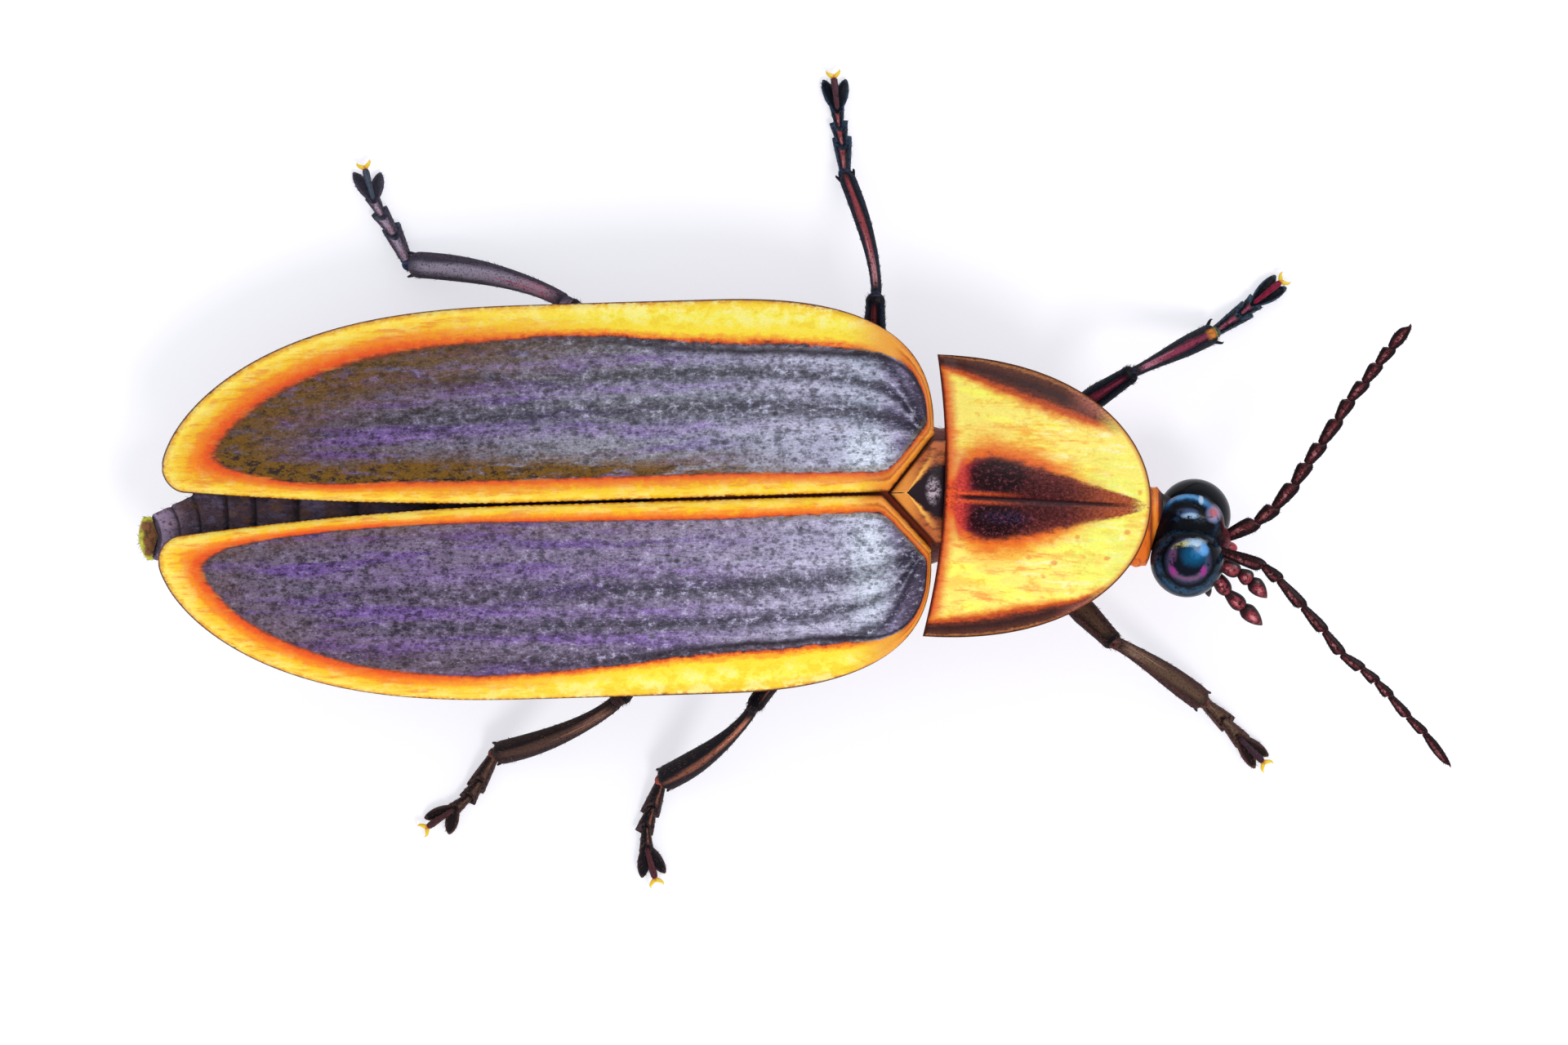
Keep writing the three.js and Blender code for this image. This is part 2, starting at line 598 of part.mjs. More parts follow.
// Upper shell
const shieldClearance = pronotum(GAP).transform(shield.matrix.elements);
const fromCases = new THREE.Matrix4().copy(toCases);
const shieldNearCases = shieldClearance.transform(fromCases.elements);
addPiece(wingCases, "elytron_left", elytron(1).subtract(shieldNearCases), CHARCOAL, 0.5);
addPiece(wingCases, "elytron_right", elytron(-1).subtract(shieldNearCases), CHARCOAL, 0.5);
addPiece(wingCases, "scutellum", scutellum().subtract(shieldNearCases), ORANGE, 0.5);
addPiece(shield, "pronotum", pronotum(), YELLOW, 0.4);

// Trunk, with the two pale lantern plates let into the underside of the abdomen
const wholeAbdomen = abdomen();
const pocket = slab(LANTERNS.rear[1] - GAP, LANTERNS.front[0] + GAP, LANTERN_HEIGHT + GAP);
addPiece(firefly, "abdomen", wholeAbdomen.subtract(pocket), BROWN, 0.6);
Object.entries(LANTERNS).forEach(([place, [front, rear]]) => {
  const plate = wholeAbdomen.intersect(slab(rear, front, LANTERN_HEIGHT));
  addPiece(firefly, `lantern_${place}`, plate, PALE_GREEN, 0.4);
});
addPiece(firefly, "pygidium", pygidium(), OLIVE, 0.5);
addPiece(firefly, "metathorax", thorax(METATHORAX, underCases), BROWN, 0.5);
addPiece(firefly, "mesothorax", thorax(MESOTHORAX, underCases), BROWN, 0.5);
addPiece(firefly, "prothorax", thorax(PROTHORAX, underShield), ORANGE, 0.5);

// Head
addPiece(firefly, "neck", neck(), ORANGE, 0.5);
addPiece(headFrame, "head", head(), BLUE_BLACK, 0.3);
addPiece(headFrame, "labrum", labrum(), RED_BROWN, 0.4);
[["left", 1], ["right", -1]].forEach(([side, sign]) => {
  addPiece(headFrame, `eye_${side}`, eye(sign), BLUE_BLACK, 0.15);
  addPiece(firefly, `antenna_${side}`, antenna(side), RED_BROWN, 0.5);
  addPiece(firefly, `maxillary_palp_${side}`, palp(MAXILLARY_PALPS[side], 0.15), RED_BROWN, 0.5);
  addPiece(firefly, `labial_palp_${side}`, palp(LABIAL_PALPS[side], 0.12), RED_BROWN, 0.5);
  addPiece(firefly, `mandible_${side}`, mandible(MANDIBLES[side]), BLUE_BLACK, 0.3);
});

// Legs
const thoraxClearance = joined([
  thorax(PROTHORAX, underShield, GAP),
  thorax(MESOTHORAX, underCases, GAP),
  thorax(METATHORAX, underCases, GAP),
]);
Object.entries(LEGS).forEach(([name, leg]) => {
  const color = name.endsWith("left") ? BLUE_BLACK : RED_BROWN;
  Object.entries(legPieces(leg, thoraxClearance)).forEach(([piece, shape]) => {
    addPiece(firefly, `${piece}_${name}`, shape, color, 0.4);
  });
});

// The origin is moved to the floor under the middle of the whole insect
firefly.add(wingCases, shield, headFrame);
firefly.updateMatrixWorld(true);
const middle = new THREE.Box3().setFromObject(firefly, true).getCenter(new THREE.Vector3());
firefly.position.set(-middle.x, -middle.y, 0);

export default firefly;
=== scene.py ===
# %% [markdown]
# # A firefly in life size
# This lesson gives a still, life-size firefly its looks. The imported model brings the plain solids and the
# frame. Every visible piece is then a surface worked out with numpy from the same named sizes, so it lies
# where its solid lies. Sizes are in millimetres until the very last step, which turns them into metres. The
# x axis runs towards the head, y to the beetle's left, z up, and the floor is z = 0.

import bpy
import numpy as np
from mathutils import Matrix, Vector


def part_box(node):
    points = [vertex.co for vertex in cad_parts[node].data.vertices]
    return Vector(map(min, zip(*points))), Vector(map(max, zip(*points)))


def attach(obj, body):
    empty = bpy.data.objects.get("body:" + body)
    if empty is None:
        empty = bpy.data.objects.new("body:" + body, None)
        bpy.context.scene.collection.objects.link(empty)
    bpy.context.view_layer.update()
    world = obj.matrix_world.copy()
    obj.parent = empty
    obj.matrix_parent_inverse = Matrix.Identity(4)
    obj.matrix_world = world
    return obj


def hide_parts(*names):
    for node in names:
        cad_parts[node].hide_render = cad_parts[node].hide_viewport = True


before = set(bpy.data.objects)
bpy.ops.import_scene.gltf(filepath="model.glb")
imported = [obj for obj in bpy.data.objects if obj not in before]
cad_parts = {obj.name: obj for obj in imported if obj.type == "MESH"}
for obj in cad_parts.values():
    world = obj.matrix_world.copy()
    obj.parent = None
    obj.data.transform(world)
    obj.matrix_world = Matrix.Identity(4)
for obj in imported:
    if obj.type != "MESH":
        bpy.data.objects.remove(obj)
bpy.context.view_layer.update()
print("the packed model has", len(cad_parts), "nodes")

# %% [markdown]
# ## Camera, floor and light
# The picture looks straight down on the beetle with a long lens. Its light comes from the lower right at
# about sixty degrees above the floor, so the soft shadows fall to the upper left. One wide, weak sun gives
# that direction, and a bright pale sky fills the shadows until they are light grey. The gloss on the eyes
# sits at their upper right, so a small softbox there is seen in reflections alone.

# %% Camera
CAMERA_PLACE = (-0.000153, -0.000678, 0.1347)
CAMERA_LENS = 200


def placed(name, data):
    """An object made of data, linked into the scene."""
    made = bpy.data.objects.new(name, data)
    bpy.context.scene.collection.objects.link(made)
    return made


lens = bpy.data.cameras.new("camera")
lens.lens = CAMERA_LENS
lens.sensor_width = 36
lens.clip_start = 0.01
lens.clip_end = 10
camera = placed("camera", lens)
camera.location = CAMERA_PLACE
bpy.context.scene.camera = camera
bpy.context.scene.view_settings.view_transform = "Standard"
print("the camera stands", CAMERA_PLACE[2] * 1000, "mm above the floor")

# %% Light
SUN_STRENGTH = 1.0
SUN_SPREAD = 0.3
SKY_STRENGTH = 0.8
SOFTBOX_POWER = 0.22
SOFTBOX_SIZE = 0.06
SOFTBOX_DISTANCE = 0.12
TOWARDS_SUN = np.array([0.32, -0.5, 0.95])
TOWARDS_SOFTBOX = np.array([0.506, 0.622, 0.598])
HEAD_PLACE = np.array([0.006, -0.0013, 0.002])


def aimed(direction):
    """The turn that makes a lamp, which shines down its own z axis, shine from a direction."""
    flat = np.hypot(direction[0], direction[1])
    return (np.arctan2(flat, direction[2]), 0, np.arctan2(direction[0], -direction[1]))


sun = bpy.data.lights.new("sun", "SUN")
sun.energy = SUN_STRENGTH
sun.angle = SUN_SPREAD
sun.color = (1.0, 0.97, 0.92)
sun_object = placed("sun", sun)
sun_object.rotation_euler = aimed(TOWARDS_SUN)
sun_object.visible_glossy = False
softbox = bpy.data.lights.new("softbox", "AREA")
softbox.energy = SOFTBOX_POWER
softbox.shape = "DISK"
softbox.size = SOFTBOX_SIZE
softbox_object = placed("softbox", softbox)
softbox_object.location = HEAD_PLACE + SOFTBOX_DISTANCE * TOWARDS_SOFTBOX
softbox_object.rotation_euler = aimed(TOWARDS_SOFTBOX)
softbox_object.visible_camera = False
softbox_object.visible_diffuse = False

sky = bpy.data.worlds.new("sky")
sky.use_nodes = True
sky.node_tree.nodes["Background"].inputs["Color"].default_value = (0.94, 0.95, 1.0, 1.0)
sky.node_tree.nodes["Background"].inputs["Strength"].default_value = SKY_STRENGTH
bpy.context.scene.world = sky
print("one sun, one softbox and one sky")

# %% [markdown]
# ## Small tools for numbers
# `mix` goes from one value to another, `clip` holds a value in a range, `ease` is a soft step from 0 to 1,
# and `bell` is a bump of height one round a centre.

# %% Number tools
def mix(first, second, share):
    return first + (second - first) * share


def clip(value, low=0.0, high=1.0):
    return np.clip(value, low, high)


def ease(value, low, high):
    share = clip((value - low) / (high - low))
    return share * share * (3 - 2 * share)


def bell(value, centre, width):
    return np.exp(-(((value - centre) / width) ** 2))


def unit(vectors):
    return vectors / np.linalg.norm(vectors, axis=-1, keepdims=True)


def even_turn(count, edge=0.015):
    """Shares from near 0 to near 1 that stand closer together at both ends: half a cosine wave."""
    return (1 - np.cos(np.pi * np.linspace(edge, 1 - edge, count))) / 2


def round_rim(distance, radius):
    """A quarter circle: 0 on the rim, and 1 from a radius away on."""
    return np.sqrt(1 - (1 - clip(distance / radius)) ** 2)


def out_and_back(over, under):
    """Shares that go out across an upper face and come back under it, with 1 above and -1 below."""
    share = np.concatenate([over, under])[None, :]
    face = np.concatenate([np.ones(len(over)), -np.ones(len(under))])[None, :]
    return share, face


def turned(points, angle, origin):
    """Points turned about the z axis and then moved to an origin."""
    x, y, z = points[..., 0], points[..., 1], points[..., 2]
    cos, sin = np.cos(angle), np.sin(angle)
    return stacked(cos * x - sin * y, sin * x + cos * y, z) + origin


def turned_back(x, y, angle, origin):
    """The same move and turn undone, for a place in the plan."""
    cos, sin = np.cos(-angle), np.sin(-angle)
    dx, dy = x - origin[0], y - origin[1]
    return cos * dx - sin * dy, sin * dx + cos * dy


def stacked(*values):
    """Points from their coordinates, where a single value counts for all of them."""
    return np.stack(np.broadcast_arrays(*values), -1)


print("tools ready")

# %% [markdown]
# ## Skins
# Every piece is a closed shell, built from rings of points, laid one behind the other. Values that a
# material needs are stored on the points as marks.

# %% Skins from rings
def volume_sign(points, quads):
    """The sign of the enclosed volume: the sum over all faces of the triple product of three corners."""
    a, b, c, d = (points[quads[:, k]] for k in range(4))
    return np.einsum("ij,ij->i", a, np.cross(b, c) + np.cross(c, d)).sum()


def ring_faces(rows, columns):
    """Quads between neighbouring rings, and a fan of triangles on each end, round one more point."""
    row, column = np.mgrid[0:rows - 1, 0:columns]
    here = row * columns + column
    beside = row * columns + (column + 1) % columns
    quads = stacked(here, beside, beside + columns, here + columns).reshape(-1, 4)
    ring = np.arange(columns)
    after = (ring + 1) % columns
    base = (rows - 1) * columns
    first = stacked(after, ring, rows * columns)
    last = stacked(base + ring, base + after, rows * columns + 1)
    return quads, np.concatenate([first, last])


def with_ends(values):
    """The values of all points, ring by ring, and then the means of the first and of the last ring."""
    rows, columns = values.shape[:2]
    ends = [values[k].reshape(columns, -1).mean(0)[None] for k in (0, -1)]
    return np.concatenate([values.reshape(rows * columns, -1), *ends])


def skin(rings, **marks):
    """A closed skin from rings (rows, columns, 3). Each mark has a value or a vector for every point. Faces
    are reversed where the enclosed volume comes out negative."""
    rows, columns, _ = rings.shape
    points = with_ends(rings)
    quads, triangles = ring_faces(rows, columns)
    if volume_sign(points - points.mean(0), quads) < 0:
        quads, triangles = quads[:, ::-1], triangles[:, ::-1]
    filled = {}
    for name, values in marks.items():
        whole = rings.shape if np.ndim(values) == 3 else (rows, columns)
        filled[name] = with_ends(np.broadcast_to(np.asarray(values, float), whole))
    return {"points": points, "quads": quads, "triangles": triangles, "marks": filled, "rings": rings}


print("skin() makes a closed shell")

# %% [markdown]
# The solids stand on an origin in the middle of the floor, while the sizes below are counted from the
# middle of the pronotum's hind margin. The last plate of the tail has a known place in both, so its box
# gives the shift.

# %% From millimetres to the frame
def trunk_middle(x):
    """The trunk's middle line: straight, then drifting to the right as a power of the way to the tail."""
    return np.where(x > -4, 0.025 * x, -0.1 - 0.56 * (clip(-4 - x, 0, 20) / 8) ** 1.5)


TAIL_END = -12.22
TAIL_WIDEST = (-12.1, 0.33)
tail_low = np.array(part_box("pygidium")[0]) * 1000
SHIFT = np.array([tail_low[0] - TAIL_END,
                  tail_low[1] - (float(trunk_middle(np.array(TAIL_WIDEST[0]))) - TAIL_WIDEST[1]), 0])


def mesh_of(name, points, quads, triangles):
    """A smooth mesh in metres, and the point of each of its face corners."""
    mesh = bpy.data.meshes.new(name)
    mesh.vertices.add(len(points))
    mesh.vertices.foreach_set("co", ((points + SHIFT) / 1000).astype(np.float32).ravel())
    corners = np.concatenate([quads.ravel(), triangles.ravel()]).astype(np.int32)
    sizes = np.concatenate([np.full(len(quads), 4), np.full(len(triangles), 3)])
    mesh.loops.add(len(corners))
    mesh.loops.foreach_set("vertex_index", corners)
    mesh.polygons.add(len(sizes))
    mesh.polygons.foreach_set("loop_start", (np.cumsum(sizes) - sizes).astype(np.int32))
    mesh.update(calc_edges=True)
    mesh.shade_smooth()
    return mesh, corners


def joined(skins, field, starts=None):
    """One field of all skins in a row. Faces count their points on from where each skin starts."""
    starts = np.zeros(len(skins), int) if starts is None else starts
    return np.concatenate([one[field] + start for one, start in zip(skins, starts)])


def piece(name, skins, finish, slot, *nodes):
    """One mesh object made of skins, with its marks as attributes, its finish, and the CAD nodes that it
    replaces. Patches, where the skins have them, become a map."""
    skins = skins if isinstance(skins, list) else [skins]
    starts = np.cumsum([0] + [len(one["points"]) for one in skins])
    quads, triangles = joined(skins, "quads", starts), joined(skins, "triangles", starts)
    mesh, corners = mesh_of(name, joined(skins, "points"), quads, triangles)
    for mark in skins[0]["marks"]:
        values = np.concatenate([one["marks"][mark] for one in skins])
        kind, field = ("FLOAT", "value") if values.shape[1] == 1 else ("FLOAT_VECTOR", "vector")
        attribute = mesh.attributes.new(mark, kind, "POINT")
        attribute.data.foreach_set(field, values.astype(np.float32).ravel())
    if "patches" in skins[0]:
        places = joined(skins, "patches")[corners]
        mesh.uv_layers.new(name="OFBake").data.foreach_set("uv", places.astype(np.float32).ravel())
    mesh.materials.append(finish)
    made = placed(name, mesh)
    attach(made, "root")
    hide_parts(*nodes)
    print(f"{name}: {2 * len(quads) + len(triangles)} triangles")


print("shift of the frame, in mm:", SHIFT.round(3))

# %% [markdown]
# ## Tools for finishes
# A finish is a material put together in coats: a ground colour, then colours laid over it where a mask
# says. Masks are worked out with plain arithmetic, so a small class wraps a socket and turns each operator
# into a Math node. Places are read from object coordinates, turned into millimetres.

# %% Finish tools
def rgb(red, green, blue):
    """Red, green and blue as seen on a screen, 0 to 255, turned into linear light."""
    seen = np.array([red, green, blue]) / 255
    linear = np.where(seen < 0.04045, seen / 12.92, ((seen + 0.055) / 1.055) ** 2.4)
    return (*(float(part) for part in linear), 1.0)


class Wire:
    """One output of a node. Arithmetic on it adds a Math node and gives that node's output."""

    def __init__(self, finish, socket):
        self.finish = finish
        self.socket = socket

    def math(self, operation, first, second=0.0):
        return self.finish.node("Math", {"operation": operation}, {0: first, 1: second})

    def __add__(self, other):
        return self.math("ADD", self, other)

    def __sub__(self, other):
        return self.math("SUBTRACT", self, other)

    def __rsub__(self, other):
        return self.math("SUBTRACT", other, self)

    def __mul__(self, other):
        return self.math("MULTIPLY", self, other)

    def __truediv__(self, other):
        return self.math("DIVIDE", self, other)

    def __pow__(self, other):
        return self.math("POWER", self, other)

    def __abs__(self):
        return self.math("ABSOLUTE", self)

    __radd__ = __add__
    __rmul__ = __mul__

    def most(self, other):
        return self.math("MAXIMUM", self, other)

    def step(self, low, high):
        """A soft step: 0 below low, 1 above high. With low above high it falls instead of rising."""
        ends = (low, high, 0.0, 1.0) if low < high else (high, low, 1.0, 0.0)
        settings = {"interpolation_type": "SMOOTHSTEP"}
        return self.finish.node("MapRange", settings, dict(enumerate((self, *ends))))

    def hill(self, centre, width):
        """A soft bump of height one: it falls to nothing a width away from the centre."""
        return abs(self - centre).step(width, 0.0)


class Finish:
    """A material that is painted coat by coat."""

    def __init__(self, name, ground, rough, shine=0.5, **more):
        self.material = bpy.data.materials.new(name)
        self.material.use_nodes = True
        self.nodes = self.material.node_tree.nodes
        self.links = self.material.node_tree.links
        self.shader = self.nodes["Principled BSDF"]
        for socket, value in {"Roughness": rough, "Specular_IOR_Level": shine, **more}.items():
            self.shader.inputs[socket.replace("_", " ")].default_value = value
        self.colour = ground
        self.place = self.node("VectorMath", {"operation": "SCALE"},
                               {0: self.node("TexCoord", {}, {}, "Object"), "Scale": 1000.0})

    def node(self, kind, settings, sockets, output=0):
        """Any node: its type, its settings, the values or wires of its sockets, and the output that is
        wanted."""
        made = self.nodes.new("ShaderNode" + kind)
        for name, value in settings.items():
            setattr(made, name, value)
        for key, value in sockets.items():
            self.feed(made.inputs[key], value)
        return Wire(self, made.outputs[output])

    def feed(self, socket, value):
        """Sets a socket by a wire or a value. A colour is red, green and blue as seen on a screen."""
        if isinstance(value, Wire):
            self.links.new(value.socket, socket)
        else:
            socket.default_value = rgb(*value) if socket.type == "RGBA" else value

    def mark(self, name):
        return self.node("Attribute", {"attribute_name": name}, {}, "Fac")

    def marks(self, *names):
        return [self.mark(name) for name in names]

    def mark_place(self, name):
        return self.node("Attribute", {"attribute_name": name}, {}, "Vector")

    def parts(self, vector):
        return [self.node("SeparateXYZ", {}, {0: vector}, k) for k in range(3)]

    def stretched(self, stretch, at=None):
        """A place stretched along its axes, by three factors or by one for all."""
        factors = stretch if isinstance(stretch, tuple) else (stretch,) * 3
        return self.node("VectorMath", {"operation": "MULTIPLY"}, {0: at or self.place, 1: factors})

    def noise(self, stretch, detail=3.0, roughness=0.55, at=None):
        """Cloudy noise around 0.5, with so many blotches to the millimetre along each axis."""
        sockets = {"Vector": self.stretched(stretch, at), "Scale": 1.0}
        return self.node("TexNoise", {}, {**sockets, "Detail": detail, "Roughness": roughness}, "Fac")

    def cells(self, stretch):
        """Distance from the nearest of many scattered points, with so many points to the millimetre."""
        sockets = {"Vector": self.stretched(stretch), "Scale": 1.0, "Randomness": 0.9}
        return self.node("TexVoronoi", {"feature": "F1"}, sockets, "Distance")

    def blend(self, share, first, second, way="MIX"):
        settings = {"data_type": "RGBA", "blend_type": way}
        return self.node("Mix", settings, {0: share, 6: first, 7: second}, 2)

    def oval(self, across, along, centre, size):
        """A soft spot: one in its centre, nothing on the rim of an oval."""
        shares = [(place - middle) / reach for place, middle, reach in zip((across, along), centre, size)]
        return (shares[0] ** 2.0 + shares[1] ** 2.0).step(1.0, 0.0)

    def lay(self, colour, where):
        """Lays a colour over what is there, as far as the mask says."""
        self.colour = self.blend(where, self.colour, colour)

    def shade(self, amount):
        """Darkens or lightens what is there by a factor."""
        grey = self.node("CombineXYZ", {}, {0: amount, 1: amount, 2: amount})
        self.colour = self.blend(1.0, self.colour, grey, "MULTIPLY")

    def ramp(self, value, stops):
        """A colour that changes softly along a value. Each stop is a place and a colour."""
        wire = self.node("ValToRGB", {}, {0: value})
        ramp = wire.socket.node.color_ramp
        ramp.interpolation = "EASE"
        for place, _ in stops[2:]:
            ramp.elements.new(place)
        for element, (place, colour) in zip(ramp.elements, stops):
            element.position = place
            element.color = rgb(*colour)
        return wire

    def done(self, roughness=None, height=None, strength=0.5, depth=0.02):
        """Connects the coats, the roughness and a bump whose height is given in shares of depth
        millimetres."""
        self.feed(self.shader.inputs["Base Color"], self.colour)
        if roughness is not None:
            self.feed(self.shader.inputs["Roughness"], roughness)
        if height is not None:
            sockets = {"Strength": strength, "Distance": depth / 1000, "Height": height}
            self.feed(self.shader.inputs["Normal"], self.node("Bump", {}, sockets))
        return self.material


print("finish tools ready")

# %% [markdown]
# ## Floor
# A plain pale sheet carries the insect. It glows a little, as a light table does, which keeps the shadows
# pale and lights the underside. It isn't part of the insect.

# %% Floor
FLOOR_RADIUS = 0.6

floor_finish = Finish("floor", (200, 200, 204), rough=0.9, shine=0.1,
                      Emission_Color=(0.94, 0.94, 1.0, 1.0), Emission_Strength=0.56)
floor_finish.shade(0.985 + 0.02 * floor_finish.noise(0.4))
angles = np.linspace(0, 2 * np.pi, 96, endpoint=False)
floor_mesh = bpy.data.meshes.new("floor")
floor_points = stacked(FLOOR_RADIUS * np.cos(angles), FLOOR_RADIUS * np.sin(angles), 0)
floor_mesh.from_pydata(floor_points.tolist(), [], [list(range(len(angles)))])
floor_mesh.materials.append(floor_finish.done())
floor = placed("floor", floor_mesh)
print("a round floor,", 2 * FLOOR_RADIUS, "m across")

# %% [markdown]
# ## Wing cases
# The two wing cases, or elytra, are thin hard shells that meet along the middle of the back and spread
# apart towards the tail. Each is a leaf-shaped plan with a height above every point of it: a long ridge
# that falls to the side and to the tail, three raised lines that run lengthwise, a bead along the outer
# edge and a low one along the seam.

# %% Plan and height of a wing case
CASE_LENGTH = 11.73
CASE_HALF_WIDTH = 3.02
CASE_ROOT = 0.85
CASE_TIP = 0.73
SHOULDER_END = 3.4
TAPER_START = 6.0
SEAM = 0.02
SPLIT_START = 6.5
TIP_SPREAD = 0.34
TIP_ROUND = 0.35
SCUTELLUM_REACH = 0.72
BODY_HEIGHT = 3.95
CREST_PLACE = 3.5
FRONT_DROP = 0.25
REAR_DROP = 1.35
SIDE_DROP = 1.2
CASE_TURN = np.radians(1.7)
CASE_ORIGIN = np.array([-0.09, 0.04, 0])


def case_outer(s):
    """Outer margin: a steep power curve round the shoulder, straight, then a rounded taper to the tip."""
    rise = clip(1 - (clip(SHOULDER_END - s, 0, SHOULDER_END) / SHOULDER_END) ** 2.6)
    fall = clip(1 - clip((s - TAPER_START) / (CASE_LENGTH - TAPER_START)) ** 2.7)
    front = mix(CASE_ROOT, CASE_HALF_WIDTH, rise ** 0.35)
    return np.where(s < SHOULDER_END, front, mix(CASE_TIP, CASE_HALF_WIDTH, fall ** 0.62))


def case_inner(s):
    """Inner margin: beside the scutellum, along the seam, spreading behind, and rounded into the tip."""
    beside = mix(CASE_ROOT, SEAM, clip(s / SCUTELLUM_REACH))
    spread = TIP_SPREAD * clip((s - SPLIT_START) / (CASE_LENGTH - SPLIT_START)) ** 1.6
    rounding = clip((s - CASE_LENGTH + TIP_ROUND) / TIP_ROUND)
    return mix(beside + spread, CASE_TIP, 1 - np.sqrt(1 - rounding ** 2))


def case_top(s, q):
    """Height: the ridge falls from its crest by powers of the way to both ends, and to the side as the
    width share grows."""
    behind = clip((s - CREST_PLACE) / (CASE_LENGTH - CREST_PLACE))
    ridge = BODY_HEIGHT - FRONT_DROP * clip(1 - s / CREST_PLACE) ** 2 - REAR_DROP * behind ** 2.4
    outer = case_outer(s)
    share = clip(np.abs(q) / outer)
    return ridge - SIDE_DROP * (outer / CASE_HALF_WIDTH) ** 1.5 * (1 - (1 - share ** 2.2) ** 1.3)


def from_cases(points):
    """Points of the wing cases' own frame in the model's frame."""
    return turned(points, CASE_TURN, CASE_ORIGIN)


print("a wing case is", CASE_LENGTH, "mm long and", CASE_HALF_WIDTH, "mm wide")

# %% [markdown]
# The margin of each wing case is a pale belt. Its width changes along the case, so the shell stores the
# distance from the edge in belt widths: 0 on the edge, 1 where the belt ends and the dark disc begins.
# Three edges count: the outer margin, the seam and the short slanted base, and a soft minimum of the three
# rounds the disc's corners.

# %% Distances and belts
OUTER_STATIONS = (0.0, 0.12, 0.3, 0.5, 0.8, 1.3, 1.8, 2.8, 3.8, 4.8, 5.8, 6.8, 8.6, 10.4, 11.73)
OUTER_BELT = {1: (0.1, 0.1, 0.16, 0.23, 0.35, 0.55, 0.65, 0.72, 0.65, 0.53, 0.5, 0.56, 0.59, 0.66, 0.7),
              -1: (0.07, 0.07, 0.1, 0.15, 0.26, 0.48, 0.61, 0.67, 0.62, 0.5, 0.43, 0.38, 0.41, 0.49, 0.66)}
SEAM_STATIONS = (0.7, 3.2, 6.8, 8.2, 9.0, 9.8, 10.6, 11.73)
SEAM_BELT = {1: (0.3, 0.36, 0.35, 0.33, 0.26, 0.27, 0.38, 0.62),
             -1: (0.26, 0.31, 0.25, 0.215, 0.21, 0.225, 0.28, 0.62)}
BASE_BELT = {1: 0.19, -1: 0.17}
BELT_ROUNDING = 3.5
NEAR = 1e-4


def to_line(plan, line):
    """Distance of every plan point from the nearest point of a finely sampled line."""
    flat = plan.reshape(-1, 2)
    parts = np.array_split(flat, 1 + len(flat) // 5000)
    nearest = [np.sqrt(((part[:, None] - line[None]) ** 2).sum(-1).min(1)) for part in parts]
    return np.concatenate(nearest).reshape(plan.shape[:-1])


def case_edges(s, q):
    """Distances of the plan's points from the outer margin, from the seam and from the base."""
    fine = CASE_LENGTH * even_turn(500, 0)
    seam, base = fine[fine >= SCUTELLUM_REACH], fine[fine < SCUTELLUM_REACH]
    lines = ((fine, case_outer), (seam, case_inner), (base, case_inner))
    return [to_line(stacked(s, q), stacked(at, margin(at))) for at, margin in lines]


def belt_shares(s, side, to_outer, to_seam, to_base):
    """The soft minimum of the three distances in belt widths, and the part that the inner two have in
    it."""
    outer_share = (to_outer + NEAR) / np.interp(s, OUTER_STATIONS, OUTER_BELT[side])
    seam_share = (to_seam + NEAR) / np.interp(s, SEAM_STATIONS, SEAM_BELT[side])
    base_share = (to_base + NEAR) / BASE_BELT[side]
    inner_pull = seam_share ** -BELT_ROUNDING + base_share ** -BELT_ROUNDING
    pull = outer_share ** -BELT_ROUNDING + inner_pull
    return pull ** (-1 / BELT_ROUNDING), inner_pull / pull


print("the belt is up to", max(OUTER_BELT[1]), "mm wide")

# %% Shells of the wing cases
CASE_ROWS = 340
CASE_THICKNESS = 0.2
CASE_WIDENING = {1: 1.0, -1: 0.98}
CASE_SLIDE = {1: 0.03, -1: -0.07}
RIDGES = ((0.355, 0.035), (0.56, 0.03), (0.69, 0.022))
VALLEYS = ((0.45, 0.06), (0.625, 0.04), (0.8, 0.05))
RIDGE_HEIGHT = 0.06
LINE_BEND = 0.8
SHELL_SHARE, SHELL_FACE = out_and_back(even_turn(150, 0), even_turn(42, 0.02)[::-1])


def case_lines(s):
    """The raised lines, and then the furrows beside them, as bells across the case. They fade out at both
    ends and bend towards the base in front."""
    fade = ease(s, 0.0, 0.25) * ease(-s, 1.2 - CASE_LENGTH, 4.0 - CASE_LENGTH)
    bend = 1 - clip(1 - s / LINE_BEND) ** 2
    return [sum(bell(SHELL_SHARE, bend * place, width) for place, width in lines) * fade
            for lines in (RIDGES, VALLEYS)]


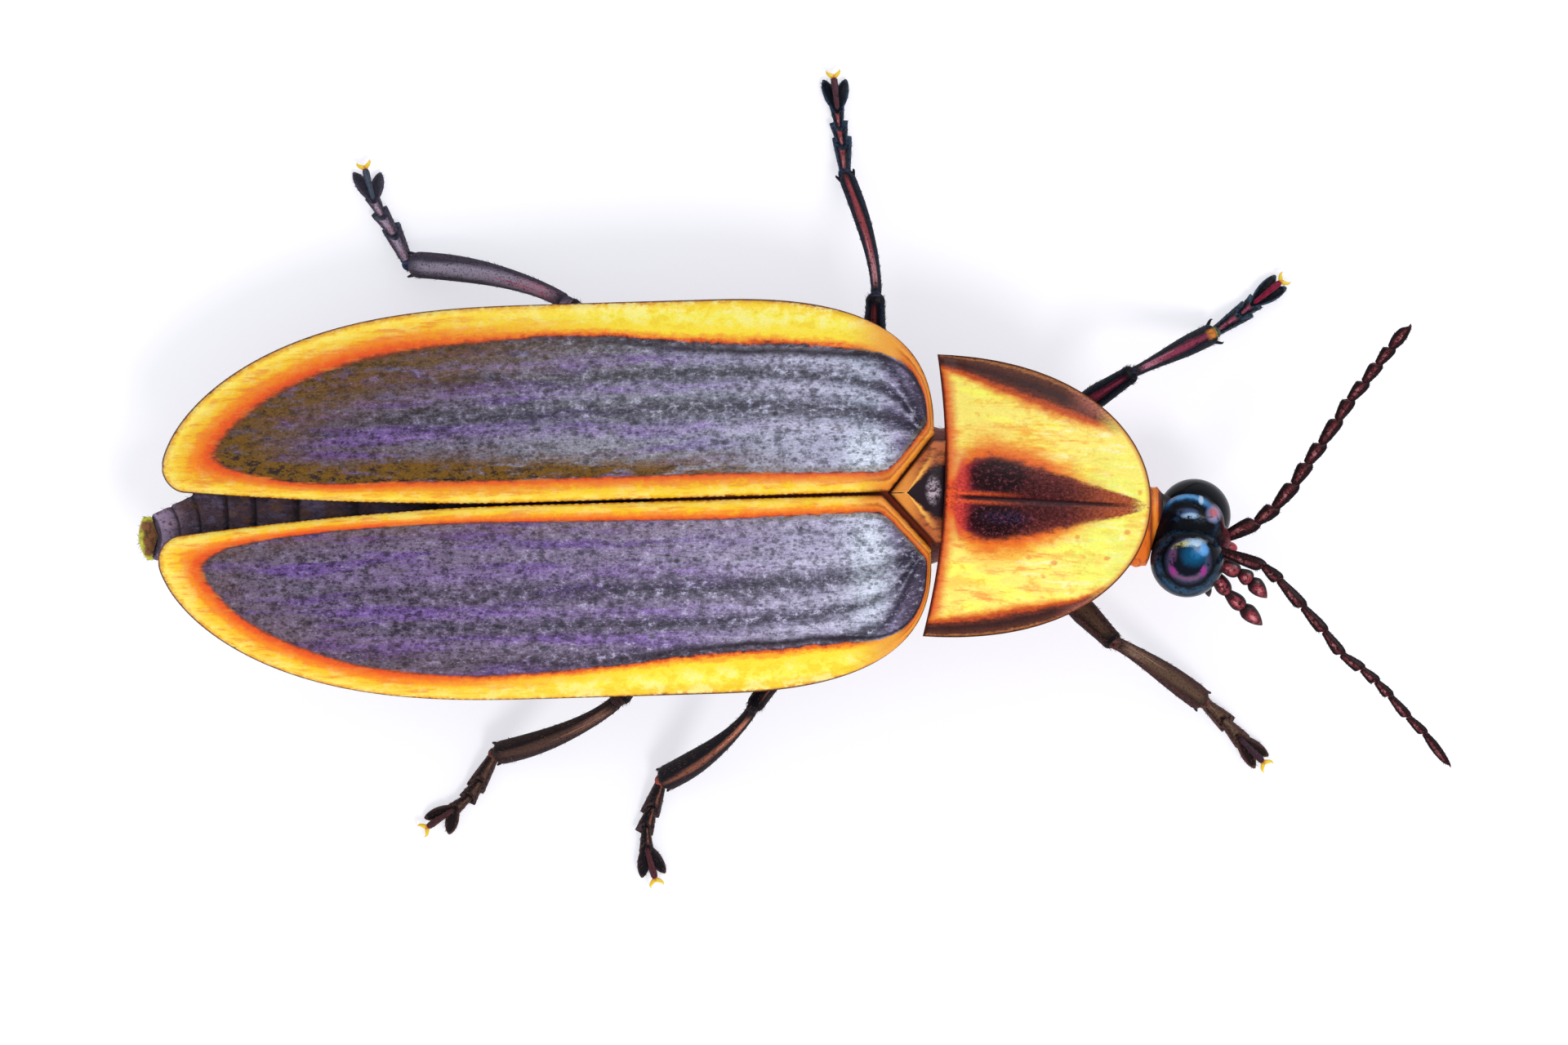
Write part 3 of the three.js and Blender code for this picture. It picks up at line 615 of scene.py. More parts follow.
def case_shell(side):
    """A shell over the plan: rings go out across the top face and back under it. Half the thickness falls
    to nothing at the rim as a quarter circle. Lines, beads and a furrow are bells added to the height."""
    s = CASE_LENGTH * even_turn(CASE_ROWS)[:, None]
    q = mix(case_inner(s), case_outer(s), SHELL_SHARE)
    s = np.broadcast_to(s, q.shape)
    to_outer, to_seam, to_base = case_edges(s, q)
    to_inner = np.minimum(to_base, to_seam)
    ridges, valleys = case_lines(s)
    relief = RIDGE_HEIGHT * (ridges - 0.3 * valleys)
    relief = relief + 0.03 * bell(to_outer, 0.07, 0.06) + 0.03 * bell(to_inner, 0.13, 0.1)
    relief = relief - 0.03 * bell(to_outer, 0.62, 0.14) - 0.02 * bell(to_inner, 0.36, 0.1)
    half = CASE_THICKNESS / 2
    thick = half * round_rim(np.minimum(to_outer, to_inner), half)
    z = case_top(s, q) - half + SHELL_FACE * thick + np.where(SHELL_FACE > 0, relief, 0.5 * relief)
    rings = from_cases(stacked(CASE_SLIDE[side] - s, side * CASE_WIDENING[side] * q, z))
    belt, inside = belt_shares(s, side, to_outer, to_seam, to_base)
    return skin(rings, belt=belt, inside=inside, ridge=ridges, valley=valleys, below=(1 - SHELL_FACE) / 2,
                plan=stacked(s, side * q, 0))


case_skins = {name: case_shell(side) for name, side in (("left", 1), ("right", -1))}
print("each wing case has", len(case_skins["left"]["points"]), "points")

# %% [markdown]
# The disc of a firefly's wing case is violet grey and darker towards the tail, with painted shade along its
# very front and a painted pale highlight just behind it. It is mottled all over by dark dashes and pits and
# by pale flecks that run lengthwise. The raised lines get a painted lavender highlight, and the valleys
# beside them painted shade. The belt runs from a thin brown edge through lemon yellow to orange, with more
# orange along the seam and behind.

# %% Colours of the wing cases
BELT_FRONT = [(0, (112, 58, 26)), (0.04, (232, 160, 52)), (0.12, (250, 216, 70)),
              (0.35, (254, 240, 84)), (0.73, (254, 228, 60)), (0.84, (250, 176, 46)),
              (0.93, (232, 102, 38)), (0.98, (150, 62, 36)), (1, (58, 40, 44))]
BELT_REAR = [(0, (112, 58, 26)), (0.05, (240, 168, 44)), (0.18, (255, 222, 78)),
             (0.42, (253, 198, 48)), (0.6, (248, 142, 34)), (0.85, (236, 90, 36)),
             (1, (134, 60, 40))]
BELT_SHOULDER = [(0, (78, 34, 18)), (0.2, (226, 134, 46)), (0.42, (240, 160, 54)),
                 (0.56, (192, 98, 38)), (0.72, (226, 128, 44)), (0.9, (200, 84, 36)),
                 (1, (60, 34, 36))]
# Colours along the disc, from the base to the tail: painted shade at the very front, where it meets the
# pronotum, a painted pale blue-white highlight about a millimetre behind it, then violet grey that darkens
# towards the tail.
DISC_RAMP_WITH_SHADE_AND_HIGHLIGHT = {
    1: [(0, (46, 32, 56)), (0.02, (66, 50, 78)), (0.05, (150, 140, 178)),
        (0.08, (196, 204, 226)), (0.14, (182, 182, 208)), (0.25, (164, 166, 184)),
        (0.42, (150, 150, 164)), (0.62, (118, 112, 130)), (0.8, (104, 92, 112)),
        (1, (100, 82, 80))],
    -1: [(0, (56, 44, 66)), (0.03, (84, 72, 96)), (0.055, (148, 138, 172)),
         (0.08, (206, 210, 232)), (0.14, (178, 172, 202)), (0.25, (160, 150, 178)),
         (0.42, (138, 124, 154)), (0.62, (126, 110, 138)), (0.8, (116, 102, 126)),
         (1, (106, 92, 108))],
}
DISC_SCALE = 12.0
# Place and size, across and along, of the painted pale highlight on the front of each disc.
HIGHLIGHT_PLACES = {1: (0.57, 0.97), -1: (1.15, 0.88)}
HIGHLIGHT_SIZES = {1: (0.5, 0.5), -1: (1.0, 0.42)}
OLIVE_SHARES = {1: (0.95, 0.75), -1: (0.18, 0.2)}


def disc_streaks(case, threads, mottle):
    """Violet and green-grey streaks, a painted lavender highlight on the raised lines and painted shade in
    the valleys beside them.
    """
    s, _, _ = case.parts(case.place)
    broad = case.noise((0.4, 4, 1), 5, 0.65)
    clouds = case.noise((3, 6, 3), 5, 0.7)
    ridge, valley, rear = case.mark("ridge"), case.mark("valley"), s.step(3, 9)
    case.lay((112, 66, 166), broad.step(0.49, 0.62) * s.step(1.5, 4.5) * 0.55)
    green = broad.step(0.47, 0.36) * clouds.step(0.48, 0.6)
    case.lay((70, 92, 104), green * s.step(2, 4) * 0.4)
    # Painted highlight on the raised lines: pale lavender in front, violet behind.
    ridge_highlight = case.blend(s.step(1.6, 4), (220, 218, 242), (152, 116, 194))
    case.lay(ridge_highlight, ridge * threads.step(0.64, 0.36) * (0.85 - 0.3 * rear))
    # Painted shade: the valleys beside the raised lines are darkened.
    case.lay((54, 52, 60), valley * mottle.step(0.36, 0.52) * (0.85 - 0.35 * rear))
    case.lay((40, 26, 58), valley * threads.step(0.3, 0.5) * s.step(1.7, 0.7) * 0.7)


def disc_paint(case, side):
    """Lays streaks, mottles, a painted pale highlight, flecks and pits over the dark disc, and gives the
    height for its bump.
    """
    s, q, _ = case.parts(case.place)
    rear = s.step(3, 9)
    threads = case.noise((2.4, 15, 1), 5, 0.75)
    mottle = case.noise((5, 6.5, 1), 6, 0.82)
    flecks = case.noise((11, 30, 1), 4, 0.8)
    disc_streaks(case, threads, mottle)
    # Painted highlight: a blue-white patch on the front of the disc, thinner in the valleys.
    painted_highlight = case.oval(abs(q), s, HIGHLIGHT_PLACES[side], HIGHLIGHT_SIZES[side])
    case.lay((228, 238, 254), painted_highlight * threads.step(0.3, 0.55) * (1 - 0.6 * case.mark("valley")))
    ink = case.blend(rear, (56, 56, 66), (30, 22, 36))
    case.lay(ink, mottle.step(0.49, 0.6) * (0.66 + 0.14 * rear))
    case.lay(ink, threads.step(0.52, 0.66) * 0.5)
    case.lay(case.blend(rear, (212, 212, 234), (156, 140, 178)), mottle.step(0.46, 0.36) * 0.7)
    pale = flecks.step(0.54, 0.66) * threads.step(0.58, 0.4)
    case.lay((214, 208, 234), pale * (0.6 - 0.25 * rear))
    wobble = (mottle - 0.5) * 1.3 + (flecks - 0.5) * 0.5
    pits = (case.cells((4.6, 6.2, 1)) + wobble).step(0.32, 0.1)
    pits = pits * case.noise((2, 3, 1), 2).step(0.38, 0.58)
    specks = (case.cells((9, 12, 1)) + wobble).step(0.34, 0.12)
    case.lay(case.blend(s.step(2, 0.8), ink, (92, 98, 122)), pits * 0.75)
    case.lay(ink, specks * 0.6)
    return (1 - pits) + 0.5 * (1 - specks) + 0.8 * threads + 0.9 * mottle


print("colours of the dark disc ready")

# %% Finish of the wing cases
def belt_paint(case):
    """The belt's colours by the distance from the edge, with pale mottles in front, and with orange streaks
    behind and along the seam."""
    s, _, _ = case.parts(case.place)
    belt, inside, rear = case.mark("belt"), case.mark("inside"), s.step(4, 8.5)
    patches = case.noise((2.6, 3.6, 1), 3, 0.6)
    mottle = case.noise((7, 9, 1), 4, 0.7)
    streaks = case.noise((1.4, 9, 1), 4, 0.7)
    edge = belt + (mottle - 0.5) * 0.3 + (streaks - 0.5) * 0.2
    clouds = patches + (mottle - 0.5) * 0.8
    orange = rear.most(inside * 0.9)
    coats = (
        ((255, 248, 158), clouds.step(0.48, 0.62) * edge.step(0.8, 0.4) * (0.6 - 0.35 * orange)),
        ((246, 206, 30), clouds.step(0.47, 0.36) * edge.step(0.85, 0.5) * (1 - rear) * 0.6),
        ((240, 132, 50), streaks.step(0.5, 0.64) * orange * edge.step(0.1, 0.3) * 0.65),
        ((255, 234, 110), streaks.step(0.48, 0.38) * rear * edge.step(0.5, 0.2) * 0.8),
        ((238, 164, 62), (1 - inside) * s.step(1.4, 0.6)),
    )
    yellow = case.blend(orange, case.ramp(edge, BELT_FRONT), case.ramp(edge, BELT_REAR))
    for colour, where in coats:
        yellow = case.blend(where, yellow, colour)
    shoulder = s.step(0.62, 0.35).most(inside * s.step(1.3, 0.75))
    return case.blend(shoulder, yellow, case.ramp(edge, BELT_SHOULDER))


def case_finish(name, side):
    """The disc first, then its olive border with dark dashes and painted shade along the front of its outer
    edge, then the belt, the brown edge and the underside.
    """
    case = Finish(name, (128, 122, 144), rough=0.5, shine=0.12)
    case.place = case.mark_place("plan")
    s, _, _ = case.parts(case.place)
    belt, inside, rear = case.mark("belt"), case.mark("inside"), s.step(3.5, 9)
    # The ramp carries painted shade at the base and a painted highlight just behind it.
    case.colour = case.ramp(s / DISC_SCALE, DISC_RAMP_WITH_SHADE_AND_HIGHLIGHT[side])
    height = disc_paint(case, side)
    border = belt.step(2.8, 1.2) * rear + inside * belt.step(2.2, 1.1) * s.step(1.5, 4)
    olive = case.noise((2, 7, 1), 4, 0.7).step(0.3, 0.55) * border
    dashes = case.noise((5, 9, 1), 5, 0.8)
    olive_share, dash_share = OLIVE_SHARES[side]
    case.lay((118, 84, 26), olive * olive_share)
    case.lay((48, 36, 36), olive * dashes.step(0.48, 0.6) * dash_share)
    # Painted shade: a dark line along the disc's outer edge, over the front half of the case.
    disc_edge_shade = (belt + (olive - 0.5) * 0.1).hill(1.08, 0.17)
    case.lay((36, 26, 36), disc_edge_shade * s.step(6.5, 3) * (1 - inside) * 0.9)
    case.lay((122, 112, 80), inside * belt.hill(1.12, 0.2) * s.step(3.5, 1.5) * 0.6)
    case.lay(belt_paint(case), (belt + (dashes - 0.5) * 0.3).step(1.05, 0.95))
    case.lay((96, 48, 22), belt.step(0.06, 0.015))
    case.lay((96, 66, 46), case.mark("below"))
    disc = belt.step(0.95, 1.1)
    grain = case.noise((24, 36, 1), 2, 0.8)
    case.shade(1 + (grain - 0.5) * (0.35 + 1.2 * disc))
    return case.done(0.5 + 0.15 * disc, height * disc, 0.6, 0.03)


for name, side in (("left", 1), ("right", -1)):
    piece(f"wing_case_{name}", case_skins[name], case_finish(f"wing_case_{name}", side), "wing_case",
          f"elytron_{name}")

# %% [markdown]
# ## Pronotum
# The shield behind the head is a low dome with sharp hind corners and a hollow hind margin. It is built as
# the wing cases are: rows run across it, and each goes forwards over the top and back below. Its side
# margins turn up a little, a fine groove runs down its middle, and a shallow furrow runs along the hind
# margin.

# %% Plan and height of the pronotum
SHIELD_LENGTH = 3.35
SHIELD_HALF_WIDTH = 2.14
SHIELD_HOLLOW = 0.2
SHIELD_CROWN = 3.85
SHIELD_DROP = 1.0
SHIELD_ROUNDNESS = 2.3
SHIELD_TURN = np.radians(-3)
SHIELD_ORIGIN = np.array([-0.144, -0.01, 0])


def shield_rear(y):
    """The hollow hind margin: a shallow parabola."""
    return SHIELD_HOLLOW * (1 - (y / SHIELD_HALF_WIDTH) ** 2)


def shield_front(y):
    """The front margin: half of an oval that is a little fuller than an ellipse."""
    return SHIELD_LENGTH * clip(1 - (y / SHIELD_HALF_WIDTH) ** 2) ** (1 / SHIELD_ROUNDNESS)


def shield_top(a, y):
    """A dome: it falls as a power of the squared distance from the middle of the hind margin."""
    out = clip((y / SHIELD_HALF_WIDTH) ** 2 + (clip(a, 0, 9) / SHIELD_LENGTH) ** SHIELD_ROUNDNESS)
    return SHIELD_CROWN - SHIELD_DROP * (1 - (1 - out) ** 1.25)


print("the pronotum is", SHIELD_LENGTH, "mm long and", 2 * SHIELD_HALF_WIDTH, "mm wide")

# %% Shell of the pronotum
SHIELD_ROWS = 260
SHIELD_THICKNESS = 0.18
LOBE_STATIONS = (0.0, 0.35, 0.45, 0.64, 0.89, 1.38, 1.88, 2.37, 2.87, 3.2, 3.35)
LOBE_WIDTHS = (0.03, 0.22, 0.42, 0.56, 0.62, 0.55, 0.42, 0.29, 0.18, 0.08, 0.02)
SIDE_STATIONS = (0.0, 0.4, 0.9, 1.4, 1.9, 2.3, 2.6, 2.9, 3.35)
SIDE_BAND = {1: (0.14, 0.2, 0.3, 0.34, 0.32, 0.24, 0.14, 0.08, 0.05),
             -1: (0.17, 0.2, 0.23, 0.24, 0.19, 0.1, 0.06, 0.05, 0.05)}


def shield_relief(a, y, to_rear, to_front):
    """Two swellings and lifted margins, less a groove down the middle and a furrow along the hind
    margin."""
    relief = 0.04 * bell(np.abs(y), 0.42, 0.3) * bell(a, 1.1, 0.9) + 0.06 * (1 - ease(to_front, 0, 0.3))
    relief = relief - 0.04 * bell(y, 0, 0.04) * ease(to_front, 0.1, 0.6) * ease(a, 0.3, 0.6)
    return relief - 0.03 * bell(to_rear, 0.28, 0.1) + 0.03 * bell(to_rear, 0.08, 0.07)


def shield_shell():
    """The same shell rule as the wing cases. The marks give the distance from the middle line in lobe
    widths, and from the side margin in band widths."""
    y = -SHIELD_HALF_WIDTH * np.cos(np.pi * np.linspace(0.015, 0.985, SHIELD_ROWS))[:, None]
    a = mix(shield_rear(y), shield_front(y), SHELL_SHARE)
    y = np.broadcast_to(y, a.shape)
    fine = -SHIELD_HALF_WIDTH * np.cos(np.pi * np.linspace(0, 1, 500))
    to_rear, to_front = (to_line(stacked(y, a), stacked(fine, margin(fine)))
                         for margin in (shield_rear, shield_front))
    half = SHIELD_THICKNESS / 2
    thick = half * round_rim(np.minimum(to_rear, to_front), half)
    relief = shield_relief(a, y, to_rear, to_front)
    z = shield_top(a, y) - half + SHELL_FACE * thick + np.where(SHELL_FACE > 0, relief, 0.4 * relief)
    left_band, right_band = (np.interp(a, SIDE_STATIONS, SIDE_BAND[side]) for side in (1, -1))
    return skin(turned(stacked(a, y, z), SHIELD_TURN, SHIELD_ORIGIN),
                plan=stacked(a, y, 0), behind=to_rear, ahead=to_front,
                lobe=np.abs(y) / np.interp(a, LOBE_STATIONS, LOBE_WIDTHS),
                side=to_front / np.where(y > 0, left_band, right_band), below=(1 - SHELL_FACE) / 2)


shield_skin = shield_shell()
print("the pronotum has", len(shield_skin["points"]), "points")

# %% [markdown]
# Its colours are the animal's name tag: pale yellow with orange clouds, two dark lobes beside the middle
# line that run together and thin out forwards, brown side margins that fade inwards, and an orange-red hind
# margin.

# %% Finish of the pronotum
SIDE_COLOURS = [(0, (96, 52, 30)), (0.06, (160, 104, 62)), (0.14, (92, 52, 42)),
                (0.34, (66, 40, 38)), (0.46, (98, 48, 38)), (0.58, (190, 80, 40)),
                (0.74, (236, 132, 46)), (1, (250, 196, 70))]
SIDE_REACH = 2.2
CORE_PLACE = (0.34, 0.98)


def shield_field(shield):
    """The yellow field: cloudy orange streaks that run lengthwise, lemon and cream patches and freckles."""
    a, y, _ = shield.parts(shield.place)
    cloud = shield.noise((0.9, 3, 1), 5, 0.65)
    streaks = shield.noise((1.6, 8, 1), 4, 0.7)
    other = shield.noise((1, 3.6, 2), 4, 0.6)
    dapple = shield.noise((4, 5, 1), 3, 0.7)
    shield.lay((255, 252, 104), other.step(0.49, 0.6) * 0.85)
    shield.lay((249, 178, 58), cloud.step(0.52, 0.64) * 0.45)
    shield.lay((243, 138, 40), streaks.step(0.51, 0.63) * cloud.step(0.44, 0.58) * 0.55)
    warm = shield.oval(y, a, (0.82, 1), (0.4, 1.2))
    shield.lay((244, 138, 34), warm * streaks.step(0.42, 0.56) * 0.45)
    shield.lay((240, 158, 90), streaks.step(0.53, 0.64) * y.step(-0.5, -0.9) * 0.6)
    shield.lay((254, 248, 184), streaks.step(0.47, 0.37) * a.step(0.9, 1.9) * 0.75)
    lemon = shield.oval(abs(y + 0.3), a, (0.4, 2.6), (0.9, 0.85))
    shield.lay((232, 244, 112), lemon * dapple.step(0.3, 0.6) * 0.7)
    shield.lay((244, 176, 54), dapple.step(0.54, 0.66) * a.step(3.1, 2.2) * 0.5)
    freckles = (shield.cells((3.6, 4.2, 1)) + (streaks - 0.5) * 0.6).step(0.22, 0.06)
    shield.lay((226, 130, 56), freckles * cloud.step(0.4, 0.5) * a.step(0.8, 1.8) * 0.7)


def shield_lobes(shield, fine, grain):
    """Orange halos, then the two dark lobes with their blackest core, all speckled. Gives the lobes'
    mask."""
    a, y, _ = shield.parts(shield.place)
    lobe = shield.mark("lobe") + fine * 0.5
    shield.lay((243, 146, 42), lobe.step(1.95, 1.15) * a.step(2.8, 1.4) * 0.75)
    shield.lay((226, 92, 34), lobe.step(1.6, 1.05) * a.step(3, 1.6) * 0.9)
    wedge = lobe.step(1.15, 0.85)
    shield.lay((170, 84, 48), wedge * a.step(3.35, 3))
    shield.lay((92, 38, 36), wedge * a.step(3, 1.9) * 0.95)
    shield.lay((126, 26, 52), wedge * (a + fine * 0.3).step(0.95, 0.6) * 0.9)
    dark = (lobe + grain * 0.6).step(1, 0.45) * a.step(2.9, 1.3) * a.step(0.42, 0.75)
    shield.lay((58, 18, 22), dark * 0.9)
    core = shield.oval(abs(y), a, CORE_PLACE, (0.36, 0.62)) + fine * 0.4 + grain * 0.3
    shield.lay((20, 4, 10), core.step(0.1, 0.85) * 0.9)
    blue = shield.oval(y, a, (-0.28, 1.15), (0.14, 0.5))
    shield.lay((58, 44, 84), blue * grain.step(-0.1, 0.1) * 0.5)
    speckles = shield.noise((14, 16, 1), 4, 0.85)
    shield.lay((128, 62, 70), wedge * speckles.step(0.52, 0.64) * a.step(0.3, 0.6) * 0.7)
    black = speckles.step(0.48, 0.38) * a.step(0.7, 1.1) * a.step(3.1, 2.2)
    shield.lay((24, 8, 12), wedge * black * 0.7)
    return wedge


def shield_margins(shield, fine, grain):
    """The red hind margin, the middle groove, the brown side bands and the thin brown edges. Gives the
    bands' mask."""
    a, y, _ = shield.parts(shield.place)
    behind, ahead = shield.marks("behind", "ahead")
    shield.lay((210, 66, 56), (behind + fine * 0.15).hill(0.24, 0.2) * abs(y).step(0.9, 0.4) * 0.8)
    shield.lay((222, 84, 40), (behind + fine * 0.12).step(0.26, 0.06) * 0.9)
    shield.lay((140, 46, 30), (behind + fine * 0.05).step(0.07, 0.02))
    shield.lay((226, 90, 40), abs(y).hill(0.06, 0.06) * a.step(1.6, 0.5) * 0.7)
    groove = abs(y + fine * 0.03).step(0.045, 0.015) * a.step(0.3, 0.55) * a.step(3.3, 2.6)
    shield.lay((40, 14, 20), groove * 0.9)
    side = (shield.mark("side") + fine * 0.5) / SIDE_REACH
    shield.lay(shield.ramp(side, SIDE_COLOURS), side.step(0.9, 0.62) * a.step(2.95, 2.4))
    shield.lay((190, 112, 96), side.step(0.6, 0.2) * a.step(1.9, 2.4) * a.step(2.9, 2.6) * 0.6)
    shield.lay((30, 16, 20), side.hill(0.3, 0.2) * a.step(2.6, 1.8) * grain.step(0, 0.12) * 0.7)
    shield.lay((216, 140, 70), ahead.step(0.1, 0.03) * a.step(2.4, 2.9) * 0.8)
    shield.lay((104, 52, 26), ahead.step(0.04, 0.012))
    shield.lay((86, 34, 24), behind.step(0.035, 0.01))
    return side.step(0.7, 0.4) * a.step(2.95, 2.4)


def shield_finish():
    """Field, lobes and margins in turn, the underside, and a grain that is stronger where it is dark."""
    shield = Finish("pronotum", (255, 236, 116), rough=0.5, shine=0.06)
    shield.place = shield.mark_place("plan")
    fine = shield.noise((5, 12, 1), 5, 0.7) - 0.5
    grain = shield.noise((20, 30, 1), 2, 0.8) - 0.5
    shield_field(shield)
    lobes = shield_lobes(shield, fine, grain)
    bands = shield_margins(shield, fine, grain)
    shield.lay((150, 94, 54), shield.mark("below") * 0.85)
    shield.shade(1 + grain * 0.4 + fine * 0.3 + grain * lobes.most(bands) * 2.2)
    pores = shield.cells((16, 16, 1)).step(0.3, 0.1)
    height = (1 - pores * 0.1) + 0.8 * shield.noise((5, 14, 1), 4, 0.7)
    return shield.done(0.55, height, 0.4, 0.015)


piece("shield", shield_skin, shield_finish(), "pronotum", "pronotum")

# %% [markdown]
# ## Scutellum
# A small triangle fills the corner between the wing cases and tucks in under the pronotum. It is a shell
# over a triangle whose half-width shrinks evenly to its tip. Its border is orange, and its core dark with a
# painted whitish highlight.

# %% Scutellum
SCUTELLUM_INSET = 0.03
SCUTELLUM_FRONT = -0.45
SCUTELLUM_TOP = 3.66
SCUTELLUM_SLOPE = 0.06
SCUTELLUM_ROUND = 0.1
SCUTELLUM_CORE = (0.42, 0.42)


def scutellum_shell():
    """A triangle that narrows at the slope of the wing cases' bases, with a rounded rim and a soft crown.
    The mark core is the distance from the middle in half-widths of a smaller triangle."""
    slope = (CASE_ROOT - SEAM) / SCUTELLUM_REACH
    inset = SCUTELLUM_INSET * np.hypot(1, slope)
    tip = (CASE_ROOT - inset) / slope
    s = mix(SCUTELLUM_FRONT, tip, even_turn(70))[:, None]
    widest = np.maximum(0.02, CASE_ROOT - inset - slope * clip(s, 0, 9))
    share, face = out_and_back(even_turn(50, 0), even_turn(50, 0)[::-1])
    q = mix(-widest, widest, share)
    s = np.broadcast_to(s, q.shape)
    rim = np.minimum(np.minimum((widest - np.abs(q)) * 0.7, s - SCUTELLUM_FRONT), tip - s)
    thick = SCUTELLUM_ROUND * round_rim(rim, SCUTELLUM_ROUND)
    crown = 0.05 * bell(np.abs(q) / widest, 0, 0.5) - 0.16 * ease(-s, -0.1, 0.35)
    z = SCUTELLUM_TOP - SCUTELLUM_SLOPE * clip(s, 0, 9) + face * thick + crown
    core = np.abs(q) / (SCUTELLUM_CORE[0] * clip(1 - s / SCUTELLUM_CORE[1], 0.02, 1.0))
    return skin(from_cases(stacked(-s, q, z)), plan=stacked(s, q, 0), rim=rim, core=core)


def scutellum_finish():
    plate = Finish("scutellum", (184, 98, 52), rough=0.55, shine=0.12)
    plate.place = plate.mark_place("plan")
    s, q, _ = plate.parts(plate.place)
    threads = plate.noise((5, 12, 1), 4, 0.65)
    rim, core = plate.mark("rim"), plate.mark("core") + (threads - 0.5) * 0.6
    grain = plate.noise((18, 18, 1), 3, 0.8)
    plate.lay((232, 150, 64), s.step(0.15, 0.45) * 0.9)
    plate.lay((96, 50, 34), threads.step(0.47, 0.6) * s.step(0.35, 0.1) * 0.7)
    plate.lay((250, 190, 88), core.hill(1.28, 0.34) * s.step(-0.05, 0.25))
    plate.lay((34, 20, 28), (core + (grain - 0.5) * 0.4).step(1.15, 0.85))
    # Painted highlight: a whitish patch on the dark core.
    painted_highlight = plate.oval(q, s, (0.02, 0.02), (0.26, 0.14)) * core.step(1, 0.6)
    plate.lay((206, 186, 200), painted_highlight * (threads * 0.5 + grain * 0.5).step(0.42, 0.58) * 0.85)
    plate.lay((74, 32, 22), rim.step(0.06, 0.01))
    plate.shade(0.85 + 0.3 * plate.noise((20, 20, 1), 2, 0.8))
    return plate.done(None, threads, 0.5, 0.02)


piece("scutellum_plate", scutellum_shell(), scutellum_finish(), "scutellum", "scutellum")

# %% [markdown]
# ## Trunk
# Under the shield and the wing cases lie the three lengths of the thorax and the ringed abdomen. Each is a
# run of ovals along the body, held just under the shells above. The thorax is one run with two deep folds,
# so no gap opens between its lengths. On the abdomen every ring swells towards its hind edge and steps down
# to the next, as overlapping plates do.

# %% Thorax
THORAX_STATIONS = (-4.36, -4.3, -4.2, -1.93, -1.86, -1.8, -1.74, -0.4, -0.15, 0.05, 0.2, 0.4, 2.6, 2.74,
                   2.84)
THORAX_WIDTHS = (1.9, 2.12, 2.2, 2.06, 2.0, 1.9, 2.0, 1.6, 1.05, 1.0, 1.05, 1.3, 0.92, 0.86, 0.7)
THORAX_BELLIES = (1.25, 1.06, 1.0, 0.95, 1.0, 1.08, 1.0, 1.05, 1.1, 1.2, 1.28, 1.1, 1.3, 1.36, 1.5)
THORAX_BACK = 3.6
THORAX_MIDDLE = 2.2
TRUNK_CLEARANCE = 0.3


def ceiling(x, y):
    """The highest that the trunk may reach: just below the pronotum in front and the wing cases behind."""
    along, across = turned_back(x, y, CASE_TURN, CASE_ORIGIN)
    under_cases = case_top(clip(-along, 0, CASE_LENGTH), across)
    under_shield = shield_top(*turned_back(x, y, SHIELD_TURN, SHIELD_ORIGIN))
    return np.where(x > 0.1, under_shield, under_cases) - TRUNK_CLEARANCE


def trunk_rings(x, half_width, belly, back, columns=96):
    """Ovals: y is the half-width times the cosine of an angle, z goes from belly to back with its sine."""
    angle = np.linspace(0, 2 * np.pi, columns, endpoint=False)[None, :]
    x = np.broadcast_to(x[:, None], (len(x), columns))
    y = trunk_middle(x) + half_width[:, None] * np.cos(angle)
    z = mix(belly[:, None], back, (1 + np.sin(angle)) / 2)
    return stacked(x, y, np.minimum(z, ceiling(x, y))), np.broadcast_to(angle, x.shape)


def thorax_skin():
    """Ovals through the stations, with seams pressed in along the flanks and the middle of the belly."""
    x = mix(THORAX_STATIONS[0], THORAX_STATIONS[-1], np.linspace(0, 1, 220))
    half_width = np.interp(x, THORAX_STATIONS, THORAX_WIDTHS) + 0.05 * np.abs(np.sin(1.5 * x))
    belly = np.interp(x, THORAX_STATIONS, THORAX_BELLIES)
    rings, angle = trunk_rings(x, half_width, belly, THORAX_BACK)
    seam = bell(np.sin(angle), -0.45, 0.05) + bell(angle, 1.5 * np.pi, 0.05) * (rings[..., 0] < -0.3)
    middle = stacked(rings[..., 0], trunk_middle(rings[..., 0]), THORAX_MIDDLE)
    rings = rings + unit(middle - rings + 1e-6) * 0.04 * seam[..., None]
    return skin(rings, seam=seam, up=np.sin(angle))


def thorax_finish():
    trunk = Finish("thorax", (138, 56, 38), rough=0.55, shine=0.15)
    trunk.lay((120, 76, 48), trunk.mark("up").step(0.1, -0.4))
    trunk.shade(0.8 + 0.4 * trunk.noise((2, 4, 4)))
    trunk.lay((40, 20, 18), trunk.mark("seam") * 0.8)
    height = trunk.cells(9) + 0.5 * trunk.noise(6)
    return trunk.done(None, height, 0.4, 0.03)


thorax = thorax_skin()
piece("thorax_shell", thorax, thorax_finish(), "thorax", "prothorax", "mesothorax", "metathorax")

# %% Abdomen
ABDOMEN_JOINTS = np.array([-4.35, -6.1, -7.6, -8.8, -9.7, -10.35, -10.78, -11.2, -11.52, -11.82])
ABDOMEN_WIDTHS = np.array([2.15, 2.27, 2.27, 2.12, 1.85, 1.48, 1.1, 0.6, 0.45, 0.34])
ABDOMEN_BACK = 3.3
RING_STEPS = 26


def belly_height(x):
    return 1 + 0.5 * clip((ABDOMEN_JOINTS[0] - x) / 7.55) ** 2.2


